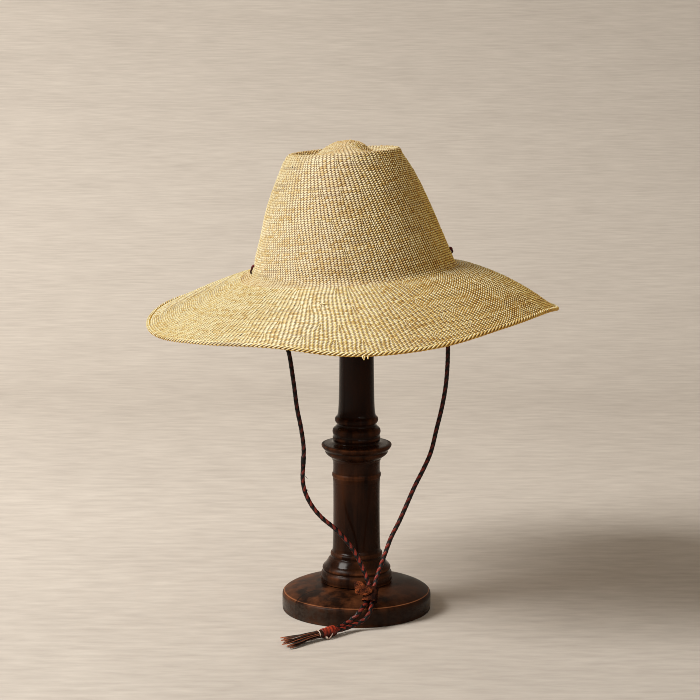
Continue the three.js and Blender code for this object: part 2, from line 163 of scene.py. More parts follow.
def skin(line, offsets, closed=False):
    """Points and faces round a line, from each ring's offsets (rings, sides, 3); open ends are capped."""
    sides = offsets.shape[1]
    points = (line[:, None] + offsets).reshape(-1, 3)
    faces = [grid_faces(len(line), sides, True)]
    column = np.arange(sides)
    following = (column + 1) % sides
    last = (len(line) - 1) * sides
    if closed:
        faces.append(np.stack([last + column, last + following, following, column], axis=1))
        return points, faces
    count = len(points)
    points = np.concatenate([points, line[:1], line[-1:]])
    faces.append(np.stack([following, column, np.full(sides, count)], axis=1))
    faces.append(np.stack([last + column, last + following, np.full(sides, count + 1)], axis=1))
    return points, faces


def ring_angles(sides):
    return TURN * np.arange(sides) / sides


def tube(line, radii, sides, closed=False):
    """Points and faces of a tube; radii has one value for each ring, or one for each point of it."""
    side, up, _ = carried(line, closed)
    angle = ring_angles(sides)[:, None]
    radii = np.asarray(radii, float)
    radii = np.broadcast_to(radii[:, None] if radii.ndim == 1 else radii, (len(line), sides))
    ring = side[:, None] * np.cos(angle) + up[:, None] * np.sin(angle)
    return skin(line, ring * radii[..., None], closed)


def flat_strip(line, half_width, half_thickness, sides):
    """Points and faces of a level strip with rounded edges; its half width may vary along it."""
    along = unit(np.gradient(line, axis=0))
    side = unit(np.cross([0.0, 0.0, 1.0], along))
    up = np.cross(along, side)
    angle = ring_angles(sides)[:, None]
    across, over = (np.sign(wave) * np.abs(wave) ** 0.6 for wave in (np.cos(angle), np.sin(angle)))
    wide = side[:, None] * across * half_width[:, None, None]
    return skin(line, wide + up[:, None] * over * half_thickness)


def together(parts):
    """One mesh's points, faces and shades from several; a part may have one shade for all of it."""
    points, faces, shades, first = [], [], [], 0
    for part_points, part_faces, part_shades in parts:
        count = len(part_points)
        own = part_shades if np.ndim(part_shades) else np.full(count, part_shades)
        shades.append(np.pad(own, (0, count - len(own))))  # the middle of a cap has no shade
        points.append(part_points)
        faces += [group + first for group in part_faces]
        first += count
    return np.concatenate(points), faces, np.concatenate(shades)


def revolved(profile, steps):
    """Points and faces of a turned solid about Z, from the radius and height along its outline."""
    angle = ring_angles(steps)
    ring = np.stack([np.cos(angle), np.sin(angle)], axis=1)
    flat = profile[:, None, :1] * ring[None]
    height = np.broadcast_to(profile[:, None, 1:2], (*flat.shape[:2], 1))
    return np.concatenate([flat, height], axis=2).reshape(-1, 3), [grid_faces(len(profile), steps, True)]


def rounded(outline, near, closed=False):
    """An outline whose corners are cut twice, a share from each; an open one keeps its ends."""
    for _ in range(2):
        first, second = outline[:-1], outline[1:]
        if closed:
            first, second = outline, np.roll(outline, -1, axis=0)
        cut = np.stack([mix(first, second, near), mix(first, second, 1 - near)], axis=1)
        cut = cut.reshape(-1, outline.shape[1])
        outline = cut if closed else np.concatenate([outline[:1], cut[1:-1], outline[-1:]])
    return outline


# Materials
def math_node(operation):
    return lambda first, second: first.shader.math(operation, first, second)


class Field:
    """A node's output, whose sums and products are nodes too."""

    __add__ = math_node("ADD")
    __sub__ = math_node("SUBTRACT")
    __mul__ = math_node("MULTIPLY")
    __truediv__ = math_node("DIVIDE")

    def __init__(self, shader, socket):
        self.shader = shader
        self.socket = socket


class Shader:
    """A node material, built by short calls."""

    def __init__(self, name):
        self.material = bpy.data.materials.new(name)
        self.material.use_nodes = True
        self.tree = self.material.node_tree
        self.surface = self.tree.nodes["Principled BSDF"]

    def put(self, socket, value):
        if isinstance(value, Field):
            self.tree.links.new(value.socket, socket)
        elif isinstance(value, tuple) and socket.type == "RGBA":
            socket.default_value = (*value, 1)
        else:
            socket.default_value = value

    def node(self, kind, inputs=None, **settings):
        made = self.tree.nodes.new("ShaderNode" + kind)
        for name, value in settings.items():
            setattr(made, name, value)
        for name, value in (inputs or {}).items():
            self.put(made.inputs[name], value)
        return made

    def field(self, kind, output, inputs=None, **settings):
        return Field(self, self.node(kind, inputs, **settings).outputs[output])

    def set(self, **values):
        for name, value in values.items():
            self.put(self.surface.inputs[name.replace("_", " ")], value)

    def math(self, operation, *values):
        return self.field("Math", 0, dict(enumerate(values)), operation=operation)

    def floor(self, value):
        return self.math("FLOOR", value)

    def remap(self, value, low, high, to_low=0.0, to_high=1.0):
        inputs = {"Value": value, "From Min": low, "From Max": high, "To Min": to_low, "To Max": to_high}
        return self.field("MapRange", 0, inputs, interpolation_type="SMOOTHSTEP")

    def blend(self, share, first, second, kind="MIX"):
        return self.field("Mix", 2, {0: share, 6: first, 7: second}, data_type="RGBA", blend_type=kind)

    def place(self, scale=(1, 1, 1)):
        """Object coordinates, scaled."""
        return self.field("Mapping", 0, {"Vector": self.field("TexCoord", "Object"), "Scale": scale})

    def parted(self, vector):
        """A vector's three values."""
        return [Field(self, output) for output in self.node("SeparateXYZ", {"Vector": vector}).outputs]

    def joined(self, x, y, z=0.0):
        return self.field("CombineXYZ", 0, {0: x, 1: y, 2: z})

    def random(self, x, y, seed=0.0):
        """A value of its own for each pair of whole numbers."""
        vector = self.joined(x, y, seed)
        return self.field("TexWhiteNoise", "Value", {"Vector": vector}, noise_dimensions="3D")

    def edge(self, value):
        """0 midway between two whole numbers and 1 at each of them."""
        return self.math("ABSOLUTE", self.math("FRACT", value) - 0.5) * 2

    def noise(self, vector, scale, detail=2.0, roughness=0.5):
        inputs = {"Vector": vector, "Scale": scale, "Detail": detail, "Roughness": roughness}
        return self.field("TexNoise", "Fac", inputs)

    def ramp(self, value, *stops):
        made = self.node("ValToRGB", {"Fac": value})
        while len(made.color_ramp.elements) < len(stops):
            made.color_ramp.elements.new(0.5)
        for element, (at, colour) in zip(made.color_ramp.elements, stops):
            element.position = at
            element.color = (*colour, 1)
        return Field(self, made.outputs["Color"])

    def one_sided(self):
        """Leaves only the front, so a backdrop doesn't hide the object from a camera behind it."""
        back = self.field("NewGeometry", "Backfacing")
        front = Field(self, self.surface.outputs[0])
        either = self.field("MixShader", 0, {0: back, 1: front, 2: self.field("BsdfTransparent", 0)})
        self.put(self.tree.nodes["Material Output"].inputs["Surface"], either)

    def bump(self, height, strength, distance):
        inputs = {"Height": height, "Strength": strength, "Distance": distance}
        self.set(Normal=self.field("Bump", 0, inputs))


STRAW_CREAM = (0.95, 0.91, 0.71)
STRAW_GOLD = (0.81, 0.66, 0.35)
STRAW_TAN = (0.47, 0.31, 0.11)
STRAW_GREY = (0.42, 0.36, 0.28)
STRAW_SHADE = (0.38, 0.17, 0.025)  # painted shade between two stitches
STRAW_PIT_SHADE = (0.085, 0.033, 0.006)  # painted shade in the corners where four stitches meet
STRAW_HOLE_SHADE = (0.02, 0.01, 0.004)  # painted shade, darker still, in a few of these corners, as if they were open
SUN = (-0.69, -0.39, 0.605)
SUN_LOW = -0.4  # how far a face may be turned from the sun and still differ in tone
# Painted light and shade on the straw: how squarely it faces the sun, and what share of its colour it keeps
CROWN_SUN_SHADING = [(-0.4, (0.78, 0.53, 0.17)), (-0.2, (0.68, 0.32, 0.045)), (-0.05, (1.0, 0.87, 0.21)),
             (0.3, (1.0, 1.0, 0.85)), (0.62, (1.0, 1.0, 1.0)), (0.82, (0.54, 0.51, 0.43)),
             (1.0, (0.52, 0.50, 0.40))]
BRIM_SUN_SHADING = [(0.0, (0.82, 0.54, 0.15)), (0.3, (0.93, 0.69, 0.22)), (0.45, (0.50, 0.36, 0.11)),
            (0.55, (0.92, 0.88, 0.47)), (0.65, (0.82, 0.88, 0.94)), (0.76, (0.93, 0.92, 0.90)),
            (0.88, (0.50, 0.475, 0.33))]
STRAND_RIBS = 8  # a strand of straw passes over about this many ribs before the next one takes over
STITCH_SHARE = 0.65  # how much of a stitch's tone is its own, and not its strand's
LIT_FROM, LIT_FULL = 0.62, 0.95  # a face that looks at the sun shows less of the painted valley shade and of the tones
MIDDLE_TONE = 0.5
DENT_SHADE = (0.62, 0.41, 0.20)  # painted shade on the level parts of the crown, at the bottom of its dents
HOLE_CHANCE = (0.9955, 0.997)  # above these random values, a corner's painted open-hole shade starts, and is full


def straw_material(name, depth, lit_depth, lit_tone, notch, groove, sun_shading, dent=0.0):
    """Straw stitches: the map counts ribs across and rows along, so each stitch has its own tone.

    Notch and groove are how dark the painted shade gets between rows and between ribs, and depth is a share
    of all that. The lit values are what is left, where a face looks at the sun, of that depth and of the
    stitches' tones. Sun shading paints light and shade by how squarely a face looks at the sun, and dent
    paints shade on its level faces.
    """
    s = Shader(name)
    rib, row, _ = s.parted(s.field("UVMap", 0, uv_map="weave"))
    whole_rib, whole_row = s.floor(rib), s.floor(row)
    stitch = s.random(whole_rib, whole_row, 1)
    strand = s.random(s.floor(whole_rib / STRAND_RIBS + s.random(whole_row, 0, 2)), whole_row, 3)
    normal = s.field("NewGeometry", "Normal")
    facing = s.field("VectorMath", "Value", {0: normal, 1: SUN}, operation="DOT_PRODUCT")
    # painted light: a face that looks at the sun loses part of the stitches' tone spread
    sunlit_tone_spread = s.remap(facing, LIT_FROM, LIT_FULL, 1, lit_tone)
    tone = stitch * STITCH_SHARE + strand * (1 - STITCH_SHARE)
    tone = (tone - MIDDLE_TONE) * sunlit_tone_spread + MIDDLE_TONE
    colour = s.ramp(tone, (0.0, STRAW_TAN), (0.25, STRAW_GOLD), (0.6, STRAW_CREAM))
    colour = s.blend(s.remap(strand, 0.96, 0.98, 0, 0.5), colour, STRAW_GREY)
    colour = s.blend(s.remap(s.random(whole_rib, 0, 4), 0.75, 1, 0, 0.18), colour, STRAW_TAN)
    bands = s.noise(s.joined(rib * 0.03, row * 0.5), 1.0, 3, 0.6)
    colour = s.blend(s.remap(bands, 0.5, 0.72, 0, 0.22), colour, STRAW_GOLD)
    grain = s.noise(s.joined(rib * 1.5, row * 9), 1.0, 3, 0.6)
    colour = s.blend(s.remap(grain, 0.35, 0.7, 0.3, 0.0), colour, STRAW_TAN)
    across, along = s.edge(rib), s.edge(row)
    corner = across * 0.95 + along * 0.85
    pit_shade = s.remap(corner, 0.76, 1.3, 0, 0.97)
    # painted shade between rows and ribs and in the stitches' corners, less on faces that look at the sun
    sides = s.math("MAXIMUM", s.remap(along, 0.35, 1, 0, notch), s.remap(across, 0.45, 1, 0, groove))
    shade_depth = s.remap(facing, LIT_FROM, LIT_FULL, depth, lit_depth)
    colour = s.blend(sides * shade_depth, colour, STRAW_SHADE)
    colour = s.blend(pit_shade * shade_depth, colour, STRAW_PIT_SHADE)
    # painted shade: a few corners are drawn as dark as open ones
    chance = s.random(s.floor(rib + 0.5), s.floor(row + 0.5), 5)
    hole = s.remap(chance, *HOLE_CHANCE) * s.remap(corner, 0.85, 1.2)
    colour = s.blend(hole, colour, STRAW_HOLE_SHADE)
    # painted light and shade: each face's colour is scaled by how squarely it looks at the sun
    stops = [((at - SUN_LOW) / (1 - SUN_LOW), kept) for at, kept in sun_shading]
    colour = s.blend(1.0, colour, s.ramp((facing - SUN_LOW) / (1 - SUN_LOW), *stops), "MULTIPLY")
    # painted shade on faces that look up, at the bottom of the crown's dents
    level = s.remap(s.parted(normal)[2], 0.8, 0.96, 0, dent)
    colour = s.blend(level, colour, DENT_SHADE, "MULTIPLY")
    s.set(Base_Color=colour, Roughness=0.6, Specular_IOR_Level=0.4)
    s.bump(grain, 0.35, 0.0002)
    return s.material


WOOD_DARK = (0.0085, 0.003, 0.0015)
WOOD_LIGHT = (0.088, 0.029, 0.011)
WOOD_BARE = (0.20, 0.075, 0.03)  # the sharpest edges, rubbed bare
WOOD_DUST_AND_SHEEN = (0.030, 0.0215, 0.0165)  # the base's scuffed side: dust, with a painted grey sheen on its lit left
WOOD_CRACK = (0.001, 0.0007, 0.0005)
DUST_AND_SHEEN_EDGE = (0.0155, 0.0175)  # the heights between which the dust and its painted sheen end
# A curved crack in the base's top, left of the post: the middle and radius of its arc, and then where it
# fades out, across its line, at either end along X, and in front along Y
CRACK_MIDDLE = (-0.0304, -0.0619, 0.0)
CRACK_RADIUS = 0.034
CRACK_EDGE = (0.0004, 0.0013)
CRACK_STARTS = (-0.06, -0.056)
CRACK_ENDS = (-0.04, -0.034)
CRACK_SIDE = (-0.06, -0.058)


def wood_material(name):
    """Dark stained wood, lighter where the mesh's shade says that it is worn, with painted shade toward +X."""
    s = Shader(name)
    worn = s.field("Attribute", "Fac", attribute_name="shade")
    x, y, z = s.parted(s.place())
    grain = s.noise(s.place((1, 1, 0.12)), 90, 5, 0.6)
    cloud = s.noise(s.place((1, 1, 0.5)), 30, 3)
    mottle_and_shade = s.remap(grain, 0.3, 0.7, 0.2, 1.5) + s.remap(cloud, 0.38, 0.62, -0.6, 0.6)
    # painted shade: less of the lighter stain toward +X, away from the key lamp
    mottle_and_shade = mottle_and_shade * s.remap(x, -0.01, 0.06, 1.0, 0.3)
    colour = s.blend(worn * mottle_and_shade, WOOD_DARK, WOOD_LIGHT)
    bare = s.remap(worn, 1.0, 1.6, 0.0, 0.95) * s.remap(cloud, 0.42, 0.55, 0.35, 1.0)
    colour = s.blend(bare, colour, WOOD_BARE)
    scuffs = s.noise(s.place((1, 1, 1.6)), 160, 4, 0.6)
    # dust and painted sheen, stronger toward -X, the side that the key lamp lights
    dust_and_sheen = s.remap(z, *DUST_AND_SHEEN_EDGE, 0.9, 0.0) * s.remap(scuffs, 0.35, 0.6, 0.3, 1.0)
    colour = s.blend(dust_and_sheen * s.remap(x, -0.055, -0.01, 1.0, 0.3), colour, WOOD_DUST_AND_SHEEN)
    inputs = {0: s.joined(x, y), 1: CRACK_MIDDLE}
    reach = s.field("VectorMath", "Value", inputs, operation="DISTANCE")
    off = s.math("ABSOLUTE", reach - CRACK_RADIUS)
    inside = s.remap(x, *CRACK_STARTS) * s.remap(x, *CRACK_ENDS, 1, 0)
    crack = s.remap(off, *CRACK_EDGE, 0.95, 0) * inside * s.remap(y, *CRACK_SIDE)
    colour = s.blend(crack, colour, WOOD_CRACK)
    gloss = s.remap(worn, 0.12, 0.35, 0.075, 0.05)
    rough = s.remap(cloud, 0.3, 0.7, 0.12, 0.22) + s.remap(worn, 0.12, 0.35, 0, 0.25)
    s.set(Base_Color=colour, Roughness=rough, Specular_IOR_Level=gloss)
    s.bump(grain, 0.2, 0.0003)
    return s.material


def leather_material(name, dark, light, roughness=0.42, gloss=0.2, speckle=0.6):
    """Leather whose colour runs from dark to light by the mesh's own shade, with dark speckles."""
    s = Shader(name)
    fine = s.noise(s.place(), 900, 3)
    colour = s.blend(s.field("Attribute", "Fac", attribute_name="shade"), dark, light)
    colour = s.blend(s.remap(fine, 0.35, 0.7, 0.0, speckle), colour, tuple(0.35 * c for c in dark))
    s.set(Base_Color=colour, Roughness=roughness, Specular_IOR_Level=gloss)
    s.bump(fine, 0.35, 0.0003)
    return s.material


STRAW = straw_material("straw", 1.0, 0.6, 0.5, 0.95, 0.48, CROWN_SUN_SHADING, dent=0.75)
STRAW_BRIM = straw_material("straw_brim", 0.95, 0.7, 0.9, 1.0, 0.2, BRIM_SUN_SHADING)
STRAW_INSIDE = straw_material("straw_inside", 0.7, 0.7, 1.0, 0.6, 0.4, BRIM_SUN_SHADING)
STRAW_PLAIT = straw_material("straw_plait", 1.0, 1.0, 1.0, 0.0, 1.0, BRIM_SUN_SHADING)
WOOD = wood_material("dark_wood")
BRAID_LEATHER = leather_material("braid_leather", (0.005, 0.0035, 0.0035), (0.26, 0.026, 0.014))
TASSEL_LEATHER = leather_material("tassel_leather", (0.0015, 0.001, 0.001), (0.62, 0.20, 0.10))
RED_LEATHER = leather_material("red_leather", (0.018, 0.0035, 0.003), (0.38, 0.040, 0.016))
SUEDE = leather_material("suede", (0.007, 0.003, 0.003), (0.22, 0.054, 0.017), 0.9, 0.05, 0.95)
LACE_LEATHER = leather_material("lace_leather", (0.016, 0.004, 0.003), (0.48, 0.03, 0.025))
PALE_LEATHER = leather_material("pale_leather", (0.16, 0.05, 0.03), (0.62, 0.50, 0.42))


# The chin cord's route, as the part has it
CORD_DIAMETER = 4.6
GAP = 0.3  # between a piece and the one that it sits on
CORD_SPREAD = CORD_DIAMETER / 2 + GAP  # how far each run is from the middle between both
SLIDER_TOP = np.array([14.2, -58.2, 37.2])
SLIDER_FOOT = np.array([12.2, -65.6, 24.8])
KNOT_START = np.array([-20.8, -96, 5.5])
KNOT_RADIUS = 5.2
KNOT_LENGTH = 16.5
KNOT_HEADING = 222
LEFT_RUN = [
    (-93.8, -6.9, 323.3), (-86.5, -7, 311), (-77.6, -6, 286), (-70, -6, 268), (-65.2, -6, 255.8),
    (-60.6, -10, 228.7), (-56.8, -14, 200.6), (-53, -17, 181.8), (-50.6, -20, 163.2), (-51.1, -22, 148.2),
    (-51.5, -25, 133.3), (-49.2, -27, 122.1), (-42.6, -30, 109.2), (-33.1, -34, 98.6), (-21.7, -38, 89.9),
    (-12.4, -42, 81.2), (-2.9, -46, 69.6), (3.6, -50, 58), (8.8, -53.8, 46.5),
]
RIGHT_RUN = [
    (84.3, 3.2, 343.2), (85.8, 1.6, 326), (86.8, -1, 305), (87.4, -3.5, 280), (87.3, -5, 259.5),
    (86.8, -8, 241.8), (85, -11, 221.2), (81.2, -14, 200.6), (76.5, -18, 182.1), (70.8, -22, 159.7),
    (64.2, -26, 145.2), (55.6, -30, 128.7), (48.1, -34, 112.2), (40.5, -38, 95.7), (32.9, -42, 81.2),
    (27.3, -46, 66.7), (22.9, -50, 55), (19.4, -54, 46),
]
LEFT_TAIL = [(6.2, -73, 21.8), (1.4, -79.2, 16.8), (-4.6, -80.6, 11.6), (-12.4, -84.4, 7.2)]
RIGHT_TAIL = [
    (13.7, -72.2, 20.7), (11.4, -77.8, 15.8), (6.8, -78.6, 10.6), (-1.2, -81.4, 7), (-9.6, -88.4, 5.4),
]

slider_down = unit(SLIDER_FOOT - SLIDER_TOP)
slider_across = unit(np.array([1.0, 0, 0]) - slider_down * slider_down[0])
slider_front = np.cross(slider_down, slider_across)


def floor_frame(heading):
    angle = math.radians(heading)
    along = np.array([math.cos(angle), math.sin(angle), 0])
    return along, np.cross([0, 0, 1.0], along)


knot_along, knot_across = floor_frame(KNOT_HEADING)


def cord_route(run, tail, side):
    end = KNOT_START + knot_across * side * CORD_SPREAD - knot_along * GAP
    beside = slider_across * side * CORD_SPREAD
    inside = [SLIDER_TOP + beside, SLIDER_FOOT + beside]
    return np.array([*run, *inside, *tail, end - knot_along * CORD_DIAMETER / 2, end], float)


BRAID_LAY = 16.0  # length in which a strand goes once round the cord
BRAID_STEP = 0.5
BRAID_SIDES = 24
BRAID_VALLEY, BRAID_RIDGE = 0.66, 0.26  # of the cord's radius: its valleys, and how proud its strands stand
BRAID_CROSSING = 0.55  # of that: how much higher the upper strand is where two cross
RED_FROM, RED_FALL = 260, 180  # from this height down the red grows, and is full this much lower
# Where a worn stretch of the left cord is bound with black thread
SPLICE_HEIGHT = 151.6
SPLICE_LENGTH = 7.0
THREAD_ENDS = [(15.0, 4.6), (27.0, 3.8)]  # how far under the splice, and how far out from the cord's middle
THREAD_RADIUS = 0.22


def braid_relief(length, angle):
    """Four strands, two each way, over one and under one: how proud the cord stands, and how red."""
    turn = TURN * length / BRAID_LAY
    one, two = angle - turn, angle + turn + math.pi / 2
    over = np.where((np.round(one / math.pi) + np.round(two / math.pi)) % 2 == 0, 1.0, -1.0)
    first, second = np.cos(one) ** 2, np.cos(two) ** 2
    lift = BRAID_CROSSING * over * first * second
    high_one, high_two = np.sqrt(first) + lift, np.sqrt(second) - lift
    relief = np.maximum(high_one, high_two)
    return relief, smooth((high_one - high_two) * 2.5 + 0.3) * smooth((relief - 0.5) * 3)


def add_cord(side, route, least_red, splice=None):
    """A braided cord along its route, redder toward the foot; splice is the height of its bound stretch."""
    fine = catmull_rom(route, 40 * len(route))
    line = evened(fine, int(length_of(fine) / BRAID_STEP))
    along = np.linspace(0, length_of(line), len(line))[:, None]
    angle = ring_angles(BRAID_SIDES)[None]
    relief, red = braid_relief(along, angle)
    radii = CORD_DIAMETER / 2 * (BRAID_VALLEY + BRAID_RIDGE * relief)
    patches = 0.75 + 0.25 * np.sin(along / 5.3) * np.sin(along / 8.1 + 1)
    shades = red * patches * mix(least_red, 1.0, np.clip((RED_FROM - line[:, 2:]) / RED_FALL, 0, 1))
    threads = []
    if splice:
        bound = smooth(1.6 - np.abs(line[:, 2:] - splice) / (SPLICE_LENGTH / 2))
        radii = mix(radii, CORD_DIAMETER / 2 * (1.05 + 0.1 * np.sin(along * 5 + angle)), bound)
        shades = shades * (1 - bound)
        threads = [thread_end(line, splice - drop, reach) for drop, reach in THREAD_ENDS]
    parts = [(*tube(line, radii, BRAID_SIDES), shades.ravel()), *threads]
    piece = mesh(f"braided_cord_{side}", f"chin_cord_{side}", "cord_leather", BRAID_LEATHER, *together(parts))
    return piece, line


def thread_end(line, height, reach):
    """A short end of the thread that binds the splice, sticking out to the right of the cord."""
    root = line[np.abs(line[:, 2] - height).argmin()]
    share = np.linspace(0, 1, 8)[:, None]
    way = np.array([reach, -1.0, -1.6]) * share + np.array([0, 0, 1.6]) * np.sin(share * math.pi)
    return *tube(root + way, np.full(len(share), THREAD_RADIUS), 6), 0.0


cords = {"left": add_cord("left", cord_route(LEFT_RUN, LEFT_TAIL, -1), 0.2, SPLICE_HEIGHT),
         "right": add_cord("right", cord_route(RIGHT_RUN, RIGHT_TAIL, 1), 0.3)}


# The hat's surface, as the part has it
BRIM_MIDDLE_X = -4.0
BORDER_REACH = 194.7
BORDER_RADIUS = 1.8
# At even bearings from the right round by the back: the border's height, and how far the brim bows up
# half way out to it
BORDER_HEIGHTS = [
    296.5, 290, 285, 283, 285, 288, 291.5, 289, 284, 283, 288.6, 293.4, 288.4, 292.9, 303.5, 306.3,
]
BRIM_BOWS = [7, 6, 2, 1, 1, 1, 3, 2, -1, -2, -2, 0, 1, 2, 3, 4]
BRIM_SHARES = [0.72, 0.42, 0.17]
# Wall rings: middle, half width, half depth, height, and how much higher the right and the front stand
WALL = [
    (-2.6, 96.8, 101, 335.6, 5.2, 2.5),
    (-3.3, 92.6, 97.5, 348, 2.6, 2.5),
    (-4.9, 86.3, 91.5, 366.8, 2.2, 2.5),
    (-7.8, 77.5, 82.5, 393.7, 2.3, 2.6),
    (-9.0, 70.6, 76, 411.1, 2.4, 2.8),
    (-10.4, 63.4, 69.5, 426.8, 2.8, 3),
    (-12, 56, 62, 440.2, 2.9, 3.4),
    (-11.7, 50.8, 56.5, 447, 3.5, 3.6),
]
PEAK = np.array([-6.0, 0, 457])
# The dented top: how far from the peak toward the wall each ring lies, and its heights at even bearings
DENT_SHARES = [0.85, 0.65, 0.45, 0.25]
DENT_HEIGHTS = [
    (443.5, 442.5, 447, 454), (442, 442, 447, 454), (441, 443, 448.5, 454.8), (438.5, 440, 446.5, 454),
    (439.5, 440, 448.5, 454.8), (444, 444.5, 450.5, 455), (452.5, 454, 455, 456.2), (447, 447, 449.5, 454.5),
]
STRAW_WALL = 2.0
BEARINGS = 720
FRONT = BEARINGS * 3 // 4  # the front's place among them
STATIONS = 600  # even steps along each bearing, from the border to the peak
CURVE_PLACES = 481  # where that curve is worked out before its steps are evened


def round_table(values, bearing):
    """Values of a table of evenly spaced bearings, on a smooth closed curve."""
    values = np.asarray(values, float)
    place = (np.asarray(bearing) / 360 % 1) * len(values)
    first = np.floor(place).astype(int)
    t = place - first
    a, b, c, d = (values[(first + k) % len(values)] for k in (-1, 0, 1, 2))
    return b + 0.5 * t * (c - a + t * (2 * a - 5 * b + 4 * c - d + t * (3 * (b - c) + d - a)))


def border_points(bearing):
    angle = np.radians(bearing)
    flat = [BRIM_MIDDLE_X + BORDER_REACH * np.cos(angle), BORDER_REACH * np.sin(angle)]
    return np.stack([*flat, round_table(BORDER_HEIGHTS, bearing)], axis=1)


def meridians(bearing):
    """The outer face along each bearing, through the tables' points, from the border to the peak."""
    angle = np.radians(bearing)
    wall = []
    for x, width, depth, height, right, front in WALL:
        lean = right * np.cos(angle) - front * np.sin(angle)
        wall.append(np.stack([x + width * np.cos(angle), depth * np.sin(angle), height + lean], axis=1))
    border = border_points(bearing)
    inset = (BORDER_RADIUS + GAP) / np.linalg.norm(border - wall[0], axis=1, keepdims=True)
    edge = mix(border, wall[0], inset)
    rise = np.array([0, 0, 4.0]) * round_table(BRIM_BOWS, bearing)[:, None]  # half way out, 1/4 of this
    brim = [mix(wall[0], edge, share) + rise * share * (1 - share) for share in BRIM_SHARES]
    dent = []
    for share, heights in zip(DENT_SHARES, zip(*DENT_HEIGHTS)):
        ring = mix(PEAK, wall[-1], share)
        ring[:, 2] = round_table(heights, bearing)
        dent.append(ring)
    return np.stack([edge, *brim, *wall, *dent, np.broadcast_to(PEAK, edge.shape)], axis=1)


def hat_grid():
    bearing = np.arange(BEARINGS) * 360 / BEARINGS
    points = np.stack([evened(line, STATIONS) for line in catmull_rom(meridians(bearing), CURVE_PLACES)])
    round_way = np.roll(points, -1, axis=0) - np.roll(points, 1, axis=0)
    normals = unit(np.cross(round_way, np.gradient(points, axis=1)))
    normals[:, -3:] = unit(normals[:, -6].mean(axis=0))  # the peak itself has no way round
    return points, normals


HAT_POINTS, HAT_NORMALS = hat_grid()


def on_hat(bearing, share, lift):
    """Points on the hat's outer face at bearings and shares of the way from border to peak, lifted off it."""
    column = np.asarray(bearing) / 360 * BEARINGS
    row = np.clip(share, 0, 1) * (STATIONS - 1)
    left, low = np.floor(column).astype(int), np.minimum(np.floor(row).astype(int), STATIONS - 2)
    a, b = (column - left)[..., None], (row - low)[..., None]
    left, right = left % BEARINGS, (left + 1) % BEARINGS

    def read(table):
        below = mix(table[left, low], table[right, low], a)
        above = mix(table[left, low + 1], table[right, low + 1], a)
        return mix(below, above, b)

    return read(HAT_POINTS) + unit(read(HAT_NORMALS)) * np.asarray(lift)[..., None]


# The weave: rows run round the hat and ribs run out from the peak, and more ribs start on the way out
ROWS = 130
RIB_RINGS = [  # from this row outward, counted from the peak, the hat has this many ribs
    (1, 9), (3, 18), (5, 27), (8, 36), (11, 54), (16, 72), (22, 90), (29, 110), (42, 138), (55, 164),
    (68, 180), (85, 204), (99, 230), (112, 264), (122, 306),
]
# Row, and how far a rib drifts for each length outward
RIB_LEANS = [(0, 0.19), (68, 0.19), (100, 0.235), (130, 0.16)]
ROW_TILT = 0.028  # rows stand higher on the right of the crown, as a share of the way
# A stitch's section across a rib and along it: place, and height there
STITCH_COLUMNS = [(-0.5, 0.0), (-0.3, 0.62), (-0.1, 0.96), (0.1, 0.96), (0.3, 0.62)]
STITCH_ROWS = [(0.0, 0.0), (0.34, 1.0), (0.68, 0.94)]
STITCH_HEIGHT = 1.7
CROWN_SHARES = (0.28, 0.58, 0.14)  # of that height: what the rib, the row and both together give
RIM_SHARES = (0.22, 0.62, 0.16)
RIM_LIFT = 0.85
SINK = 0.6  # how much of that height lies below the hat's plain face
SLANT = 0.22  # how far a stitch's sides are pushed along the rib, in rows
SEAM_HEIGHT = 0.4  # a stitch's height on a zone's first and last ring, where other rows have a full valley
SEAM_TONE = 0.14  # how far into a row the map is read on a zone's first and last ring, which keeps seams pale
SEAM_WIDTH = 0.02  # how far before the next zone a zone ends, in rows
SETTLED = 0.6  # the share of a zone's rows in which its ribs even out
STITCH_SIZES = (0.8, 1.1)  # the lowest and the highest stitch
INSIDE_LIFT = 0.45


def mean_radius(row):
    """The hat's mean radius at a row counted from the peak."""
    station = np.clip((1 - row / ROWS) * (STATIONS - 1), 0, STATIONS - 1)
    flat = HAT_POINTS[..., :2]
    ring = np.linalg.norm(flat[::20] - flat.mean(axis=0), axis=2).mean(axis=0)
    return np.interp(station, np.arange(STATIONS), ring)


def rib_drift():
    """Degrees that the ribs have turned by each tenth of a row."""
    rows = np.arange(0, ROWS + 1, 0.1)
    pitch = length_of(HAT_POINTS[FRONT]) / ROWS
    lean = np.interp(rows, *np.array(RIB_LEANS).T)
    turn = lean * pitch * 0.1 / np.maximum(mean_radius(rows), 6)
    return rows, np.degrees(np.cumsum(turn))


DRIFT_ROWS, DRIFT = rib_drift()


def hat_place(bearing, row):
    """Bearing and share for a rib's own bearing and a row counted from the peak."""
    share = 1 - row / ROWS
    drifted = bearing + np.interp(row, DRIFT_ROWS, DRIFT)
    tilt = ROW_TILT * np.cos(np.radians(drifted)) * np.sin(math.pi * np.clip(share, 0, 1)) ** 2
    return drifted, share + tilt


def rib_edges():
    """For each ring of ribs, the edges of its ribs where it starts and where they have evened out."""
    even = np.arange(RIB_RINGS[0][1] + 1) * 360 / RIB_RINGS[0][1]
    rings = [(even, even)]
    for (_, fewer), (_, more) in zip(RIB_RINGS, RIB_RINGS[1:]):
        splits = more - fewer
        split = np.floor((np.arange(splits) + rng.uniform(0.1, 0.9, splits)) * fewer / splits).astype(int)
        start = np.sort(np.concatenate([even, (even[split] + even[split + 1]) / 2]))
        even = np.arange(more + 1) * 360 / more
        even = even + (start - even).mean()
        rings.append((start, even))
    return rings


RIB_EDGES = rib_edges()


def closed_ring(first, bearing):
    """A ring's vertices and their bearings, with its first one again at the end."""
    return np.append(first + np.arange(len(bearing)), first), np.append(bearing, bearing[0] + 360)


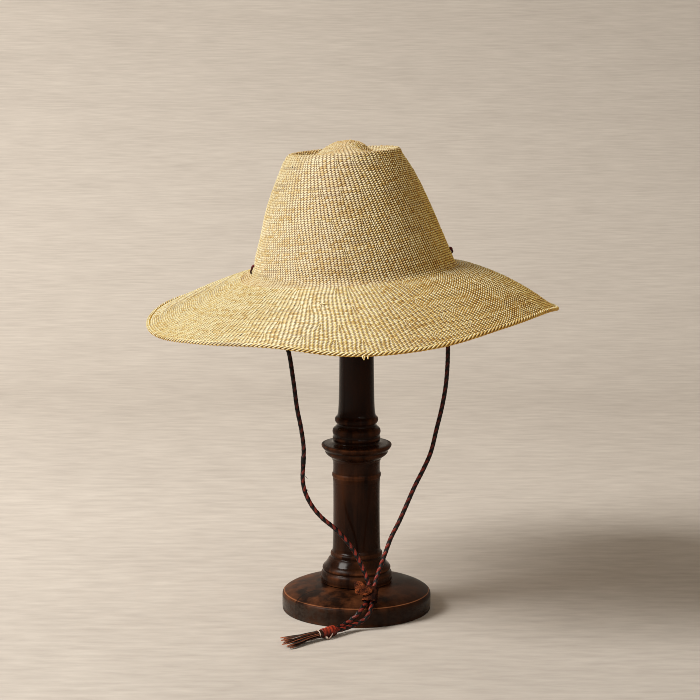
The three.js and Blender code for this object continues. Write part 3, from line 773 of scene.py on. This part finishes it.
def zipped(first_ring, first_angle, second_ring, second_angle):
    """Triangles that join two closed rings of different counts, and where on the first ring each lies."""
    angles = np.concatenate([first_angle[1:], second_angle[1:]])
    from_first = np.repeat([True, False], [len(first_angle) - 1, len(second_angle) - 1])
    picks = from_first[np.argsort(angles, kind="stable")]
    a, b = np.cumsum(picks), np.cumsum(~picks)
    third = np.where(picks, first_ring[a - 1], second_ring[np.maximum(b - 1, 0)])
    return np.stack([first_ring[a], second_ring[b], third], axis=1), a


def weave_zone(index, columns, rows, shares, lift_scale, inside):
    """One ring of ribs as a grid: its points, its map's two values, and the bearings before the ribs lean."""
    first_row, ribs = RIB_RINGS[index]
    last_row = RIB_RINGS[index + 1][0] if index + 1 < len(RIB_RINGS) else ROWS
    count = last_row - first_row
    rib_place, rib_height = np.array(columns).T
    row_place, row_height = np.array(rows).T
    row = (np.arange(first_row, last_row)[:, None] + row_place).ravel()
    row = np.append(row, last_row - SEAM_WIDTH)
    row_height = np.append(np.tile(row_height, count), SEAM_HEIGHT)[:, None]
    row_height[0] = SEAM_HEIGHT
    start, even = RIB_EDGES[index]
    edges = mix(start[None], even[None], smooth((row - first_row) / (SETTLED * count))[:, None])
    share = rib_place + 0.5
    bearing = (edges[:, :-1, None] + np.diff(edges, axis=1)[..., None] * share).reshape(len(row), -1)
    rib = (np.arange(ribs)[:, None] + share).ravel()
    rib_height = np.tile(rib_height, ribs)[None]
    wobble = rng.uniform(*STITCH_SIZES, (count + 1, ribs))[(row - first_row).astype(int)]
    by_rib, by_row, by_both = shares
    height = by_rib * rib_height + by_row * row_height + by_both * rib_height * row_height
    lift = STITCH_HEIGHT * (height * np.repeat(wobble, len(columns), axis=1) - SINK) * lift_scale
    slant = np.tile(SLANT * np.sin(TURN * rib_place), ribs) * np.ones((len(row), 1))
    slant[[0, -1]] = 0
    drifted, along = hat_place(bearing, row[:, None] - slant)
    points = on_hat(drifted, along, -STRAW_WALL - lift if inside else lift)
    row[[0, -1]] = first_row + SEAM_TONE, last_row - SEAM_TONE
    return points, rib, row, bearing


def weave_piece(name, zones, columns, rows, material, shares, lift_scale=1.0, inside=False):
    """Several rings of ribs, zipped together, as one piece."""
    order = slice(None) if inside else slice(None, None, -1)
    points, quads, quad_uv, triangles, triangle_uv = [], [], [], [], []
    first, previous = 0, None
    for index in zones:
        grid, rib, row, bearing = weave_zone(index, columns, rows, shares, lift_scale, inside)
        rings, wide = grid.shape[:2]
        quads.append(grid_faces(rings, wide, True, first)[:, order])
        near, far = (np.tile(ribs, rings - 1) for ribs in (rib, np.append(rib[1:], RIB_RINGS[index][1])))
        low, high = np.repeat(row[:-1], wide), np.repeat(row[1:], wide)
        corners = [near, low, far, low, far, high, near, high]
        quad_uv.append(np.stack(corners, axis=1).reshape(-1, 4, 2)[:, order])
        if previous:
            ring, old_rib, old_row = previous
            joined, step = zipped(*ring, *closed_ring(first, bearing[0]))
            triangles.append(joined[:, order])
            middle = np.floor(old_rib[step % len(old_rib)]) + 0.5
            flat = np.stack([middle, np.full(len(joined), old_row)], axis=1)
            triangle_uv.append(np.repeat(flat[:, None], 3, axis=1))
        previous = closed_ring(first + (rings - 1) * wide, bearing[-1]), rib, row[-1]
        points.append(grid.reshape(-1, 3))
        first += rings * wide
    uv = np.concatenate([part.reshape(-1, 2) for part in quad_uv + triangle_uv])
    mesh(name, "crown_and_brim", "straw", material, np.concatenate(points), quads + triangles, uv=uv)


CROWN_PIECES = {"straw_top": range(0, 9), "straw_wall": range(9, 11)}
BRIM_PIECES = {"straw_brim_inner": range(11, 13), "straw_brim_outer": range(13, 15)}
INNER_COLUMNS = [(-0.5, 0.0), (0.0, 1.0)]
INNER_ROWS = [(0.0, 1.0)]
for piece_name, zone_range in CROWN_PIECES.items():
    weave_piece(piece_name, zone_range, STITCH_COLUMNS, STITCH_ROWS, STRAW, CROWN_SHARES)
for piece_name, zone_range in BRIM_PIECES.items():
    weave_piece(piece_name, zone_range, STITCH_COLUMNS, STITCH_ROWS, STRAW_BRIM, RIM_SHARES, RIM_LIFT)
weave_piece("straw_inside", range(0, 15), INNER_COLUMNS, INNER_ROWS, STRAW_INSIDE, CROWN_SHARES,
            INSIDE_LIFT, inside=True)


# The plaited border
BORDER_STRANDS = 3
BORDER_LAY = 13.5  # length in which a strand goes once round
BORDER_STEP = 0.75
BORDER_SIDES = 18
BORDER_VALLEY, BORDER_RIDGE = 0.34, 0.78  # of the radius: its valleys, and how proud its strands stand
BORDER_SHADE_PLACE = 0.27  # the map's place along a stitch, which paints shade into the valleys between strands


def add_border():
    """Strands wound round each other, which is what a plait's edge shows."""
    count = int(TURN * BORDER_REACH / BORDER_STEP)
    turns = round(TURN * BORDER_REACH / BORDER_LAY)

    def phase(row, column):
        return BORDER_STRANDS * (column / BORDER_SIDES + turns * row / count)

    row, column = np.meshgrid(np.arange(count), np.arange(BORDER_SIDES), indexing="ij")
    strands = np.abs(np.cos(math.pi * phase(row, column))) ** 0.6
    radii = BORDER_RADIUS * (BORDER_VALLEY + BORDER_RIDGE * strands)
    points, faces = tube(border_points(np.arange(count) * 360 / count), radii, BORDER_SIDES, closed=True)
    corners = [phase(row + far, column + beside) + 0.5 for far, beside in ((0, 0), (0, 1), (1, 1), (1, 0))]
    strand = np.stack([corner.ravel() for corner in corners], axis=1)
    uv = np.stack([strand, np.full(strand.shape, BORDER_SHADE_PLACE)], axis=2)
    mesh("plaited_border", "brim_border", "straw_border", STRAW_PLAIT, points, faces, uv=uv)


add_border()


# Loose straws: two that lie on the brim, and the ends that stick out under the border, in front
# Radius of each on the brim, and the bearing, the share of the way up and the lift at each of its points
LOOSE_STRAWS = [
    (0.45, [(256.3, 0.236, 1.0), (257.2, 0.239, 1.6), (258.2, 0.238, 1.5), (259.2, 0.24, 0.9)]),
    (0.4, [(256.5, 0.236, 1.2), (256.9, 0.228, 1.5), (257.4, 0.222, 1.0)]),
]
# Bearing of each end, how far to the side it points, and how far down
BORDER_ENDS = [(272.5, 0.9, 3.0), (273.2, -0.7, 4.4), (274.0, 0.2, 3.6)]
END_RADIUS = 0.75
LOOSE_SIDES = 8


def add_loose_straws():
    parts = []
    for radius, places in LOOSE_STRAWS:
        line = curve(on_hat(*np.array(places).T), 30, 14)
        parts.append((*tube(line, np.full(len(line), radius), LOOSE_SIDES), 0.0))
    for bearing, aside, drop in BORDER_ENDS:
        root = border_points(np.array([bearing]))[0]
        share = np.linspace(0, 1, 10)[:, None]
        bow = np.sin(share * math.pi) * np.array([0, -0.8, 0])
        line = root + share * np.array([aside, -1.5, -drop]) + bow
        parts.append((*tube(line, END_RADIUS * (1.15 - 0.3 * share[:, 0]), LOOSE_SIDES), 0.0))
    points, faces, _ = together(parts)
    uv = np.full((sum(group.size for group in faces), 2), 0.5)
    mesh("loose_straws", "brim_border", "straw", STRAW_BRIM, points, faces, uv=uv)


add_loose_straws()


# The turned stand, as the part has it
SEAT_HEIGHT = 27.4
# Radius, height, and how worn the wood is there
BASE_PROFILE = [
    (0, 0, 0), (70.9, 0, 0.1), (72.1, 1.2, 0.1), (72.1, 15.4, 0.1), (71.5, 17.2, 0.2), (70.7, 18, 0.3),
    (70.2, 18.5, 3), (69.8, 18.75, 0.3), (67, 20.5, 0.35), (61, 23, 0.45), (50, 25.4, 0.45),
    (35, SEAT_HEIGHT, 0.3), (0, SEAT_HEIGHT, 0.3),
]
POST_WEAR = [(30, 0.07), (70, 0.15), (130, 0.2), (170, 0.06)]  # height, and how worn the post is there
EDGE_WEAR = 1.1  # how much more worn the sharpest ridge is
# Radius and height
POST_PROFILE = [
    (0, SEAT_HEIGHT + GAP), (34, SEAT_HEIGHT + GAP), (34.5, 29), (34.5, 36), (33.2, 38.2), (32, 39.2),
    (33.3, 41.4), (31.8, 44), (29.6, 46.2), (28.2, 48.6), (26.2, 51.6), (24.6, 53), (25.4, 55.2),
    (24.6, 57.2), (22.7, 58.4), (22.3, 130.8), (23.6, 132), (23.6, 135), (22.5, 136.2), (22.6, 147),
    (23.8, 149), (24.8, 151.2), (28.4, 153.4), (30.4, 156), (30.6, 158.2), (33, 160.6), (34, 163),
    (33.2, 164.2), (22.4, 164.8), (22.4, 168), (23.2, 170), (22.2, 172.4), (23.4, 176), (22.6, 179),
    (19.2, 182), (19, 184), (21, 186.6), (20.6, 189.8), (18.4, 191.6), (17.6, 197), (17.1, 207),
    (16.5, 248), (15.4, 400), (14.4, 432), (12.2, 439), (9.4, 444.6), (5.6, 449.8), (0, 453.2),
]
TURNED_STEPS = 128


def edge_wear(outline):
    """How far each place of a turned outline is a ridge, where the stain has worn through."""
    way = unit(np.diff(outline[:, :2], axis=0))
    turn = way[:-1, 0] * way[1:, 1] - way[:-1, 1] * way[1:, 0]
    ridge = np.concatenate([[0], np.clip(turn, 0, 0.5), [0]])
    return EDGE_WEAR * np.convolve(ridge, [0.5, 1, 0.5], "same")


def add_turned(node, profile):
    outline = rounded(np.array(profile, float), 0.25)
    points, faces = revolved(outline, TURNED_STEPS)
    wear = np.repeat(outline[:, 2] + edge_wear(outline), TURNED_STEPS)
    mesh(node.replace("stand", "turned"), node, "wood", WOOD, points, faces, wear)


add_turned("stand_base", BASE_PROFILE)
add_turned("stand_post", [(*place, np.interp(place[1], *zip(*POST_WEAR))) for place in POST_PROFILE])


# The laces that hold the cord's ends, through two holes in the crown at each side
LACES = {"left": (184, 330, 338), "right": (2, 348.5, 353.5)}  # bearing, and the heights of the two holes
LACE_RADIUS = 1.1
LACE_KNOT = 3.2
LACE_SIDES = 14
LACE_PROUD = LACE_RADIUS + 2 * GAP


def wall_frame(bearing, height):
    """A point of the hat's outer face at a bearing and height, and the way out from it."""
    column = round(bearing / 360 * BEARINGS)
    station = np.argmax(HAT_POINTS[column, :, 2] >= height)
    return HAT_POINTS[column, station], HAT_NORMALS[column, station]


def ball(middle, radius):
    """A knot of thin leather: a ball with the strands' turns across it."""
    sides = LACE_SIDES + 6
    share = np.linspace(-0.98, 0.98, 22)[:, None]
    turns = np.abs(np.sin(1.5 * ring_angles(sides)[None] + 4 * share)) ** 0.5
    line = middle + share * radius * np.array([0, 0, 1.0])
    # painted light on the ridges of the strands' turns, painted shade between them
    return *tube(line, radius * np.sqrt(1 - share ** 2) * (0.84 + 0.16 * turns), sides), 0.5 * turns.ravel()


def add_lace(side, bearing, low, high):
    """Out of the lower hole, up outside, in at the upper hole and back to a knot inside."""
    foot, out = wall_frame(bearing, low)
    head, head_out = wall_frame(bearing, high)
    bend = unit(head - foot) * LACE_RADIUS
    knot = foot - out * (STRAW_WALL + GAP + LACE_KNOT)
    outer_foot = foot + out * LACE_PROUD + bend
    outer_head = head + head_out * LACE_PROUD - bend
    inner_head = head - head_out * (STRAW_WALL + GAP + LACE_RADIUS) - bend
    line = curve([
        knot, foot - 1.5 * out, foot, outer_foot, (outer_foot + outer_head) / 2, outer_head, head,
        head - 1.5 * head_out, inner_head, knot + bend,
    ], 120, 60)
    place = np.linspace(0, 1, len(line))[:, None]
    girth = 0.85 + 0.4 * np.exp(-((place - 0.52) / 0.12) ** 2)
    crease = 0.12 * np.abs(np.sin(ring_angles(LACE_SIDES)[None] + 22 * place))
    # redder on its thick middle, with painted shade in its creases
    shades = np.clip(0.75 * (girth - 0.8) * (1 - 4 * crease), 0, 1)
    lace = *tube(line, LACE_RADIUS * (girth - crease), LACE_SIDES), shades.ravel()
    parts = together([lace, ball(knot, LACE_KNOT)])
    return mesh(f"leather_lace_{side}", f"lace_{side}", "cord_leather", LACE_LEATHER, *parts)


laces = {side: add_lace(side, *places) for side, places in LACES.items()}


# The suede slider: a band round both cords, with a stitched tab on its front
SLIDER_WALL = 1.1
SLIDER_PLAY = 1.0
BAND_HALF_DEPTH = CORD_DIAMETER / 2 + SLIDER_PLAY
BAND_STEPS = 96
# The band's section: shares of its wall, from its inner to its outer side, and of its length
BAND_SECTION = [(-0.5, 0), (-0.5, 0.48), (-0.25, 0.5), (0.25, 0.5), (0.5, 0.48), (0.5, 0.3), (0.5, 0.1),
                (0.5, -0.1), (0.5, -0.3), (0.5, -0.48), (0.25, -0.5), (-0.25, -0.5), (-0.5, -0.48)]
# The tab's outline, across the cords and along them, from the band's upper middle
TAB_OUTLINE = [(-17.2, -1.8), (-10.6, -2.6), (-6.2, 0.4), (-2.6, 2.4), (1.6, 3.4), (1.6, 6.4), (-1, 8.6),
               (-3.4, 10.6), (-13.9, 11)]
# The tab's section: shares of its outline and of half its thickness
TAB_SECTION = [(0.02, -1), (0.5, -1), (0.9, -1), (0.985, -0.6), (1, 0), (0.985, 0.6), (0.9, 1), (0.5, 1),
               (0.02, 1)]
TAB_THICKNESS = 1.6


def band_part():
    angle = ring_angles(BAND_STEPS)
    outward = np.cos(angle)[:, None] * slider_across + np.sin(angle)[:, None] * slider_front
    straight = np.sign(np.cos(angle)) * smooth(np.abs(np.cos(angle)) * 2) * CORD_SPREAD
    middle = (SLIDER_TOP + SLIDER_FOOT) / 2
    line = middle + outward * (BAND_HALF_DEPTH + SLIDER_WALL / 2) + straight[:, None] * slider_across
    through, place = np.array(BAND_SECTION).T[:, None]
    down = place * np.linalg.norm(SLIDER_FOOT - SLIDER_TOP)
    turn = angle[:, None]
    wrinkles = 0.35 * np.sin(3 * turn + 0.5 * down) + 0.25 * np.sin(7 * turn - 0.8 * down)
    proud = through * SLIDER_WALL + wrinkles * (through + 0.5) + 0.7 * smooth(place * 4 - 1)
    offsets = outward[:, None] * proud[..., None] + slider_down * down[..., None]
    rim = smooth(place * 14 - 5.6) * smooth(-2 * np.cos(turn)) * 0.9
    return *skin(line, offsets, closed=True), np.clip(0.1 + 0.25 * wrinkles + rim, 0, 1).ravel()


def tab_part():
    outline = rounded(np.array(TAB_OUTLINE, float), 0.12, closed=True)
    middle = outline.mean(axis=0)
    scale, depth = np.array(TAB_SECTION).T
    flat = middle + (outline - middle)[None] * scale[:, None, None]
    across, down = flat[..., 0], flat[..., 1]
    front = BAND_HALF_DEPTH + SLIDER_WALL / 2 + TAB_THICKNESS / 2
    waves = 0.3 * np.sin(across / 2.1 + down / 3) + 0.25 * np.sin(down / 1.7 - across / 4)
    forward = front + depth[:, None] * TAB_THICKNESS / 2 + waves
    places = np.stack([across, down, forward], axis=-1)
    points = SLIDER_TOP + places @ np.stack([slider_across, slider_down, slider_front])
    faces = [grid_faces(len(scale), len(outline), True)]
    return points.reshape(-1, 3), faces, np.clip(0.55 + 1.2 * waves, 0.1, 1).ravel()


slider = mesh("suede_slider", "cord_slider", "suede", SUEDE, *together([band_part(), tab_part()]))


# The wound knot on the cords' ends: a large turn, a smaller one, and two cut ends that curl out below
# Its outline: shares of its length and of its radius
KNOT_OUTLINE = [(0, 0.80), (0.04, 0.93), (0.12, 1.0), (0.35, 1.03), (0.52, 0.98), (0.62, 0.84), (0.68, 0.80),
                (0.76, 0.88), (0.88, 0.90), (0.97, 0.82), (1.0, 0.72)]
KNOT_LAY = 7.4  # length along the knot from one wound strip to the next
KNOT_SIDES = 40
KNOT_VALLEY, KNOT_RIDGE = 0.89, 0.11  # of the radius: its valleys, and how proud its turns stand
KNOT_END_RINGS = 16
# Radius, how pale, and the course of each cut end
KNOT_ENDS = [
    (0.5, 0.55, [(-22.4, -104.8, 4.7), (-23.2, -106.4, 3.9), (-24.2, -107.9, 2.8), (-25.2, -109.3, 1.8),
                 (-26.2, -110, 1.1)]),
    (1.05, 0.9, [(-30.2, -105.7, 2.9), (-29.6, -107.4, 2.7), (-28.4, -108.7, 2.4), (-27.4, -109.6, 1.7),
                 (-27.2, -110.2, 1.3)]),
]


def add_knot():
    place, girth = np.array(KNOT_OUTLINE).T
    share = np.linspace(0, 1, 64)
    angle = ring_angles(KNOT_SIDES)[None]
    turn = share[:, None] * KNOT_LENGTH / KNOT_LAY + angle / TURN
    folds = np.abs(np.cos(math.pi * turn * 2)) ** 0.5
    cross = np.abs(np.cos(math.pi * (share[:, None] * 3 - 2 * angle / TURN))) ** 0.4
    relief = 0.6 * folds + 0.4 * cross
    radii = KNOT_RADIUS * np.interp(share, place, girth)[:, None] * (KNOT_VALLEY + KNOT_RIDGE * relief)
    points, faces = tube(KNOT_START + knot_along * (share * KNOT_LENGTH)[:, None], radii, KNOT_SIDES)
    # painted light on the knot's top and on the ridges of its turns, painted shade in its folds and underneath
    height = (points[:, 2] / (2 * KNOT_RADIUS))[:relief.size]
    shades = np.clip((relief.ravel() - 0.3) * 1.5, 0, 1) * (0.2 + 0.8 * smooth(height * 1.6 - 0.4))
    ends = []
    for radius, light, way in KNOT_ENDS:
        rising, falling = np.linspace(0.5, 1.4, KNOT_END_RINGS), np.linspace(3, 0.4, KNOT_END_RINGS)
        radii = radius * np.sqrt(np.clip(rising * falling, 0.1, 1))
        ends.append((*tube(curve(way, 40, KNOT_END_RINGS), radii, 10), light))
    return [mesh("wound_knot", "cord_knot", "red_leather", RED_LEATHER, *together([(points, faces, shades)])),
            mesh("knot_ends", "cord_knot", "red_leather", PALE_LEATHER, *together(ends))]


knot_pieces = add_knot()


# The tassel: flat strips out of a short head, with a pale arc of painted highlight where it leaves the knot
TASSEL_HEAD = 3.9
TASSEL_HEAD_LENGTH = 5.0
TASSEL_HEADING = 211
STRIP_WIDTH = 2.4
STRIP_THICKNESS = 1.1
STRIP_COURSE = [(0, 0), (0.35, 0.25), (0.7, 0.7), (1, 1)]  # share of the length, and of the drift to the side
STRIP_RINGS = 40
STRIP_SIDES = 14
# Length, side and lift of the tip, side and lift of the root, and how red-brown the edges are
STRIPS = [
    (35.5, -11, 4.6, -2.6, 0.8, 0.85), (34, -7, 4.5, -2.2, 2.2, 0.1), (32.5, -8.8, 2, -1.4, -2.6, 0.0),
    (42, 1.8, 6.4, -0.6, 2.8, 0.7), (36, 0.8, 1.7, 0, 0, 0.0), (41.3, 5, 5.2, 0.8, 2.4, 0.15),
    (43.6, 6.4, 4, 1.4, 1.2, 0.9), (38, 9, 1.8, 2, -2.2, 0.05), (42, 12.4, 3.4, 2.8, 0.6, 0.6),
    (38.8, 13, 1.5, 2.6, -1, 0.1),
]
HIGHLIGHT_ARC_PLACE = 4.6
HIGHLIGHT_ARC_RADIUS = 0.45
HIGHLIGHT_ARC_DEGREES = (-15, 140)  # degrees round the head, where the pale arc of painted highlight shows
HIGHLIGHT_ARC_RINGS = 40
tassel_root = KNOT_START + knot_along * (KNOT_LENGTH + GAP)
strip_root = tassel_root + knot_along * TASSEL_HEAD_LENGTH / 2
fan_along, fan_across = floor_frame(TASSEL_HEADING)


def strip_part(number, length, side, lift, root_side, root_lift, redness):
    """One strip: black on its faces, and red-brown on its cut edges."""
    course = []
    for along, drift in STRIP_COURSE:
        point = strip_root + fan_along * along * length + fan_across * mix(root_side, side, drift)
        point[2] = mix(KNOT_START[2] + root_lift, lift, drift)
        course.append(point)
    share = np.linspace(0, 1, STRIP_RINGS)
    sway = 0.5 * np.sin(share * 9 + number * 2.1) * share
    line = curve(course, 2 * STRIP_RINGS, STRIP_RINGS) + fan_across * sway[:, None]
    taper = np.clip((1.03 - share) * 8, 0.3, 1)
    edge = np.abs(np.cos(ring_angles(STRIP_SIDES)))[None]
    tone = redness * (0.8 + 0.2 * np.sin(share * 13 + number))[:, None]
    shades = np.clip(smooth(edge * 3 - 1.7) * tone + 0.4 * smooth(share * 5 - 4.0)[:, None], 0, 1)
    return *flat_strip(line, STRIP_WIDTH / 2 * taper, STRIP_THICKNESS / 2, STRIP_SIDES), shades.ravel()


def add_tassel():
    share = np.linspace(0, 1, 12)
    line = tassel_root + knot_along * (share * TASSEL_HEAD_LENGTH)[:, None]
    parts = [(*tube(line, TASSEL_HEAD * (1 - 0.35 * share ** 3), 24), 0.04)]
    parts += [strip_part(number, *strip) for number, strip in enumerate(STRIPS)]
    # a pale arc round the head: a painted highlight where the tassel leaves the knot
    angle = np.radians(np.linspace(*HIGHLIGHT_ARC_DEGREES, HIGHLIGHT_ARC_RINGS))
    out = np.cos(angle)[:, None] * knot_across + np.sin(angle)[:, None] * np.array([0, 0, 1.0])
    line = tassel_root + knot_along * HIGHLIGHT_ARC_PLACE + out * (TASSEL_HEAD + HIGHLIGHT_ARC_RADIUS * 0.6)
    swell = np.sin(np.linspace(0.05, math.pi - 0.05, HIGHLIGHT_ARC_RINGS))
    radii = HIGHLIGHT_ARC_RADIUS * np.sqrt(np.clip(swell * 2, 0, 1))
    highlight_arc = together([(*tube(line, radii, 10), 1.0)])
    return [mesh("leather_tassel", "tassel", "tassel_leather", TASSEL_LEATHER, *together(parts)),
            mesh("tassel_highlight_arc", "tassel", "tassel_leather", PALE_LEATHER, *highlight_arc)]


tassel_pieces = add_tassel()


# Floor, backdrop and light
FLOOR_SQUEEZE = 0.2  # how much closer the threads on the floor lie in the picture, seen from a low camera
LINEN_DARK = (0.482, 0.440, 0.400)
LINEN_LIGHT = (0.613, 0.568, 0.518)
LINEN_REACH = (-0.1, 0.8)  # heights in the picture between which the painted light below is spread
# painted light and shade: a share of the way between those heights, and how bright the linen is there
LINEN_PAINTED_LIGHT = [(0.056, 0.80), (0.117, 0.86), (0.189, 0.97), (0.3, 1.0), (0.556, 0.95), (0.889, 0.88)]
LINEN_FALL = 0.10  # how much darker it is on the far side from the lamp
# Each lamp's name, place, height that it looks at above the origin, width, power and colour
LAMPS = [
    ("key", (-1.94, -0.87, 2.0), 0.3, 1.35, 128, (1.0, 0.965, 0.91)),
    ("fill", (1.6, -2.4, 1.6), 0.3, 2.0, 12, (1.0, 0.91, 0.78)),
    ("window", (0.7, -2.6, 1.0), 0.2, 0.25, 2.5, (0.9, 0.95, 1.0)),
]
SKY_COLOUR = (1.0, 0.86, 0.69)
SKY_STRENGTH = 0.33


def linen_material(name):
    """A linen backdrop with level threads, lighter on the side of the lamp, with painted light by height."""
    s = Shader(name)
    x, y, z = s.parted(s.place())
    climb = z + y * FLOOR_SQUEEZE
    threads = s.noise(s.joined(x * 22, climb * 480), 1.0, 3, 0.6)
    clouds = s.noise(s.joined(x * 5, climb * 40), 1.0, 2)
    colour = s.ramp(threads * 0.75 + clouds * 0.25, (0.3, LINEN_DARK), (0.7, LINEN_LIGHT))
    colour = s.blend(s.remap(x, -0.8, 0.9, 0.0, LINEN_FALL), colour, (0.0, 0.0, 0.0))
    low, high = LINEN_REACH
    tones = s.ramp((climb - low) / (high - low), *((at, (tone, tone, tone)) for at, tone in LINEN_PAINTED_LIGHT))
    s.set(Base_Color=s.blend(1.0, colour, tones, "MULTIPLY"), Roughness=0.95, Specular_IOR_Level=0.1)
    s.one_sided()
    return s.material


def add_stage():
    """A floor that bends up into a backdrop."""
    half, front, back, rise, bend = 4000.0, -6000.0, 1500.0, 3200.0, 500.0
    angle = np.linspace(0, math.pi / 2, 24)
    profile = [(front, 0.0), (back - bend, 0.0)]
    profile += [(back - bend + bend * math.sin(a), bend - bend * math.cos(a)) for a in angle[1:]]
    profile += [(back, rise)]
    points = np.array([(x, y, z) for y, z in profile for x in (-half, half)])
    shape("floor", linen_material("linen"), points, [grid_faces(len(profile), 2, False)])


def add_lamp(name, at, aim_height, width, power, colour):
    data = bpy.data.lights.new(name, "AREA")
    data.shape = "DISK"
    data.size = width
    data.energy = power
    data.color = colour
    light = bpy.data.objects.new(name, data)
    light.location = at
    direction = np.array(at) - np.array((0, 0, aim_height))
    flat = math.hypot(direction[0], direction[1])
    light.rotation_euler = (math.atan2(flat, direction[2]), 0, math.atan2(direction[0], -direction[1]))
    bpy.context.scene.collection.objects.link(light)


add_stage()
for lamp in LAMPS:
    add_lamp(*lamp)
world = bpy.data.worlds.new("world")
world.use_nodes = True
background = world.node_tree.nodes["Background"].inputs
background["Color"].default_value = (*SKY_COLOUR, 1)
background["Strength"].default_value = SKY_STRENGTH
bpy.context.scene.world = world
bpy.context.scene.view_settings.view_transform = "Standard"
bpy.context.scene.cycles.filter_width = 0.9
bpy.context.scene.cycles.denoising_prefilter = "NONE"  # which keeps the weave's fine contrast
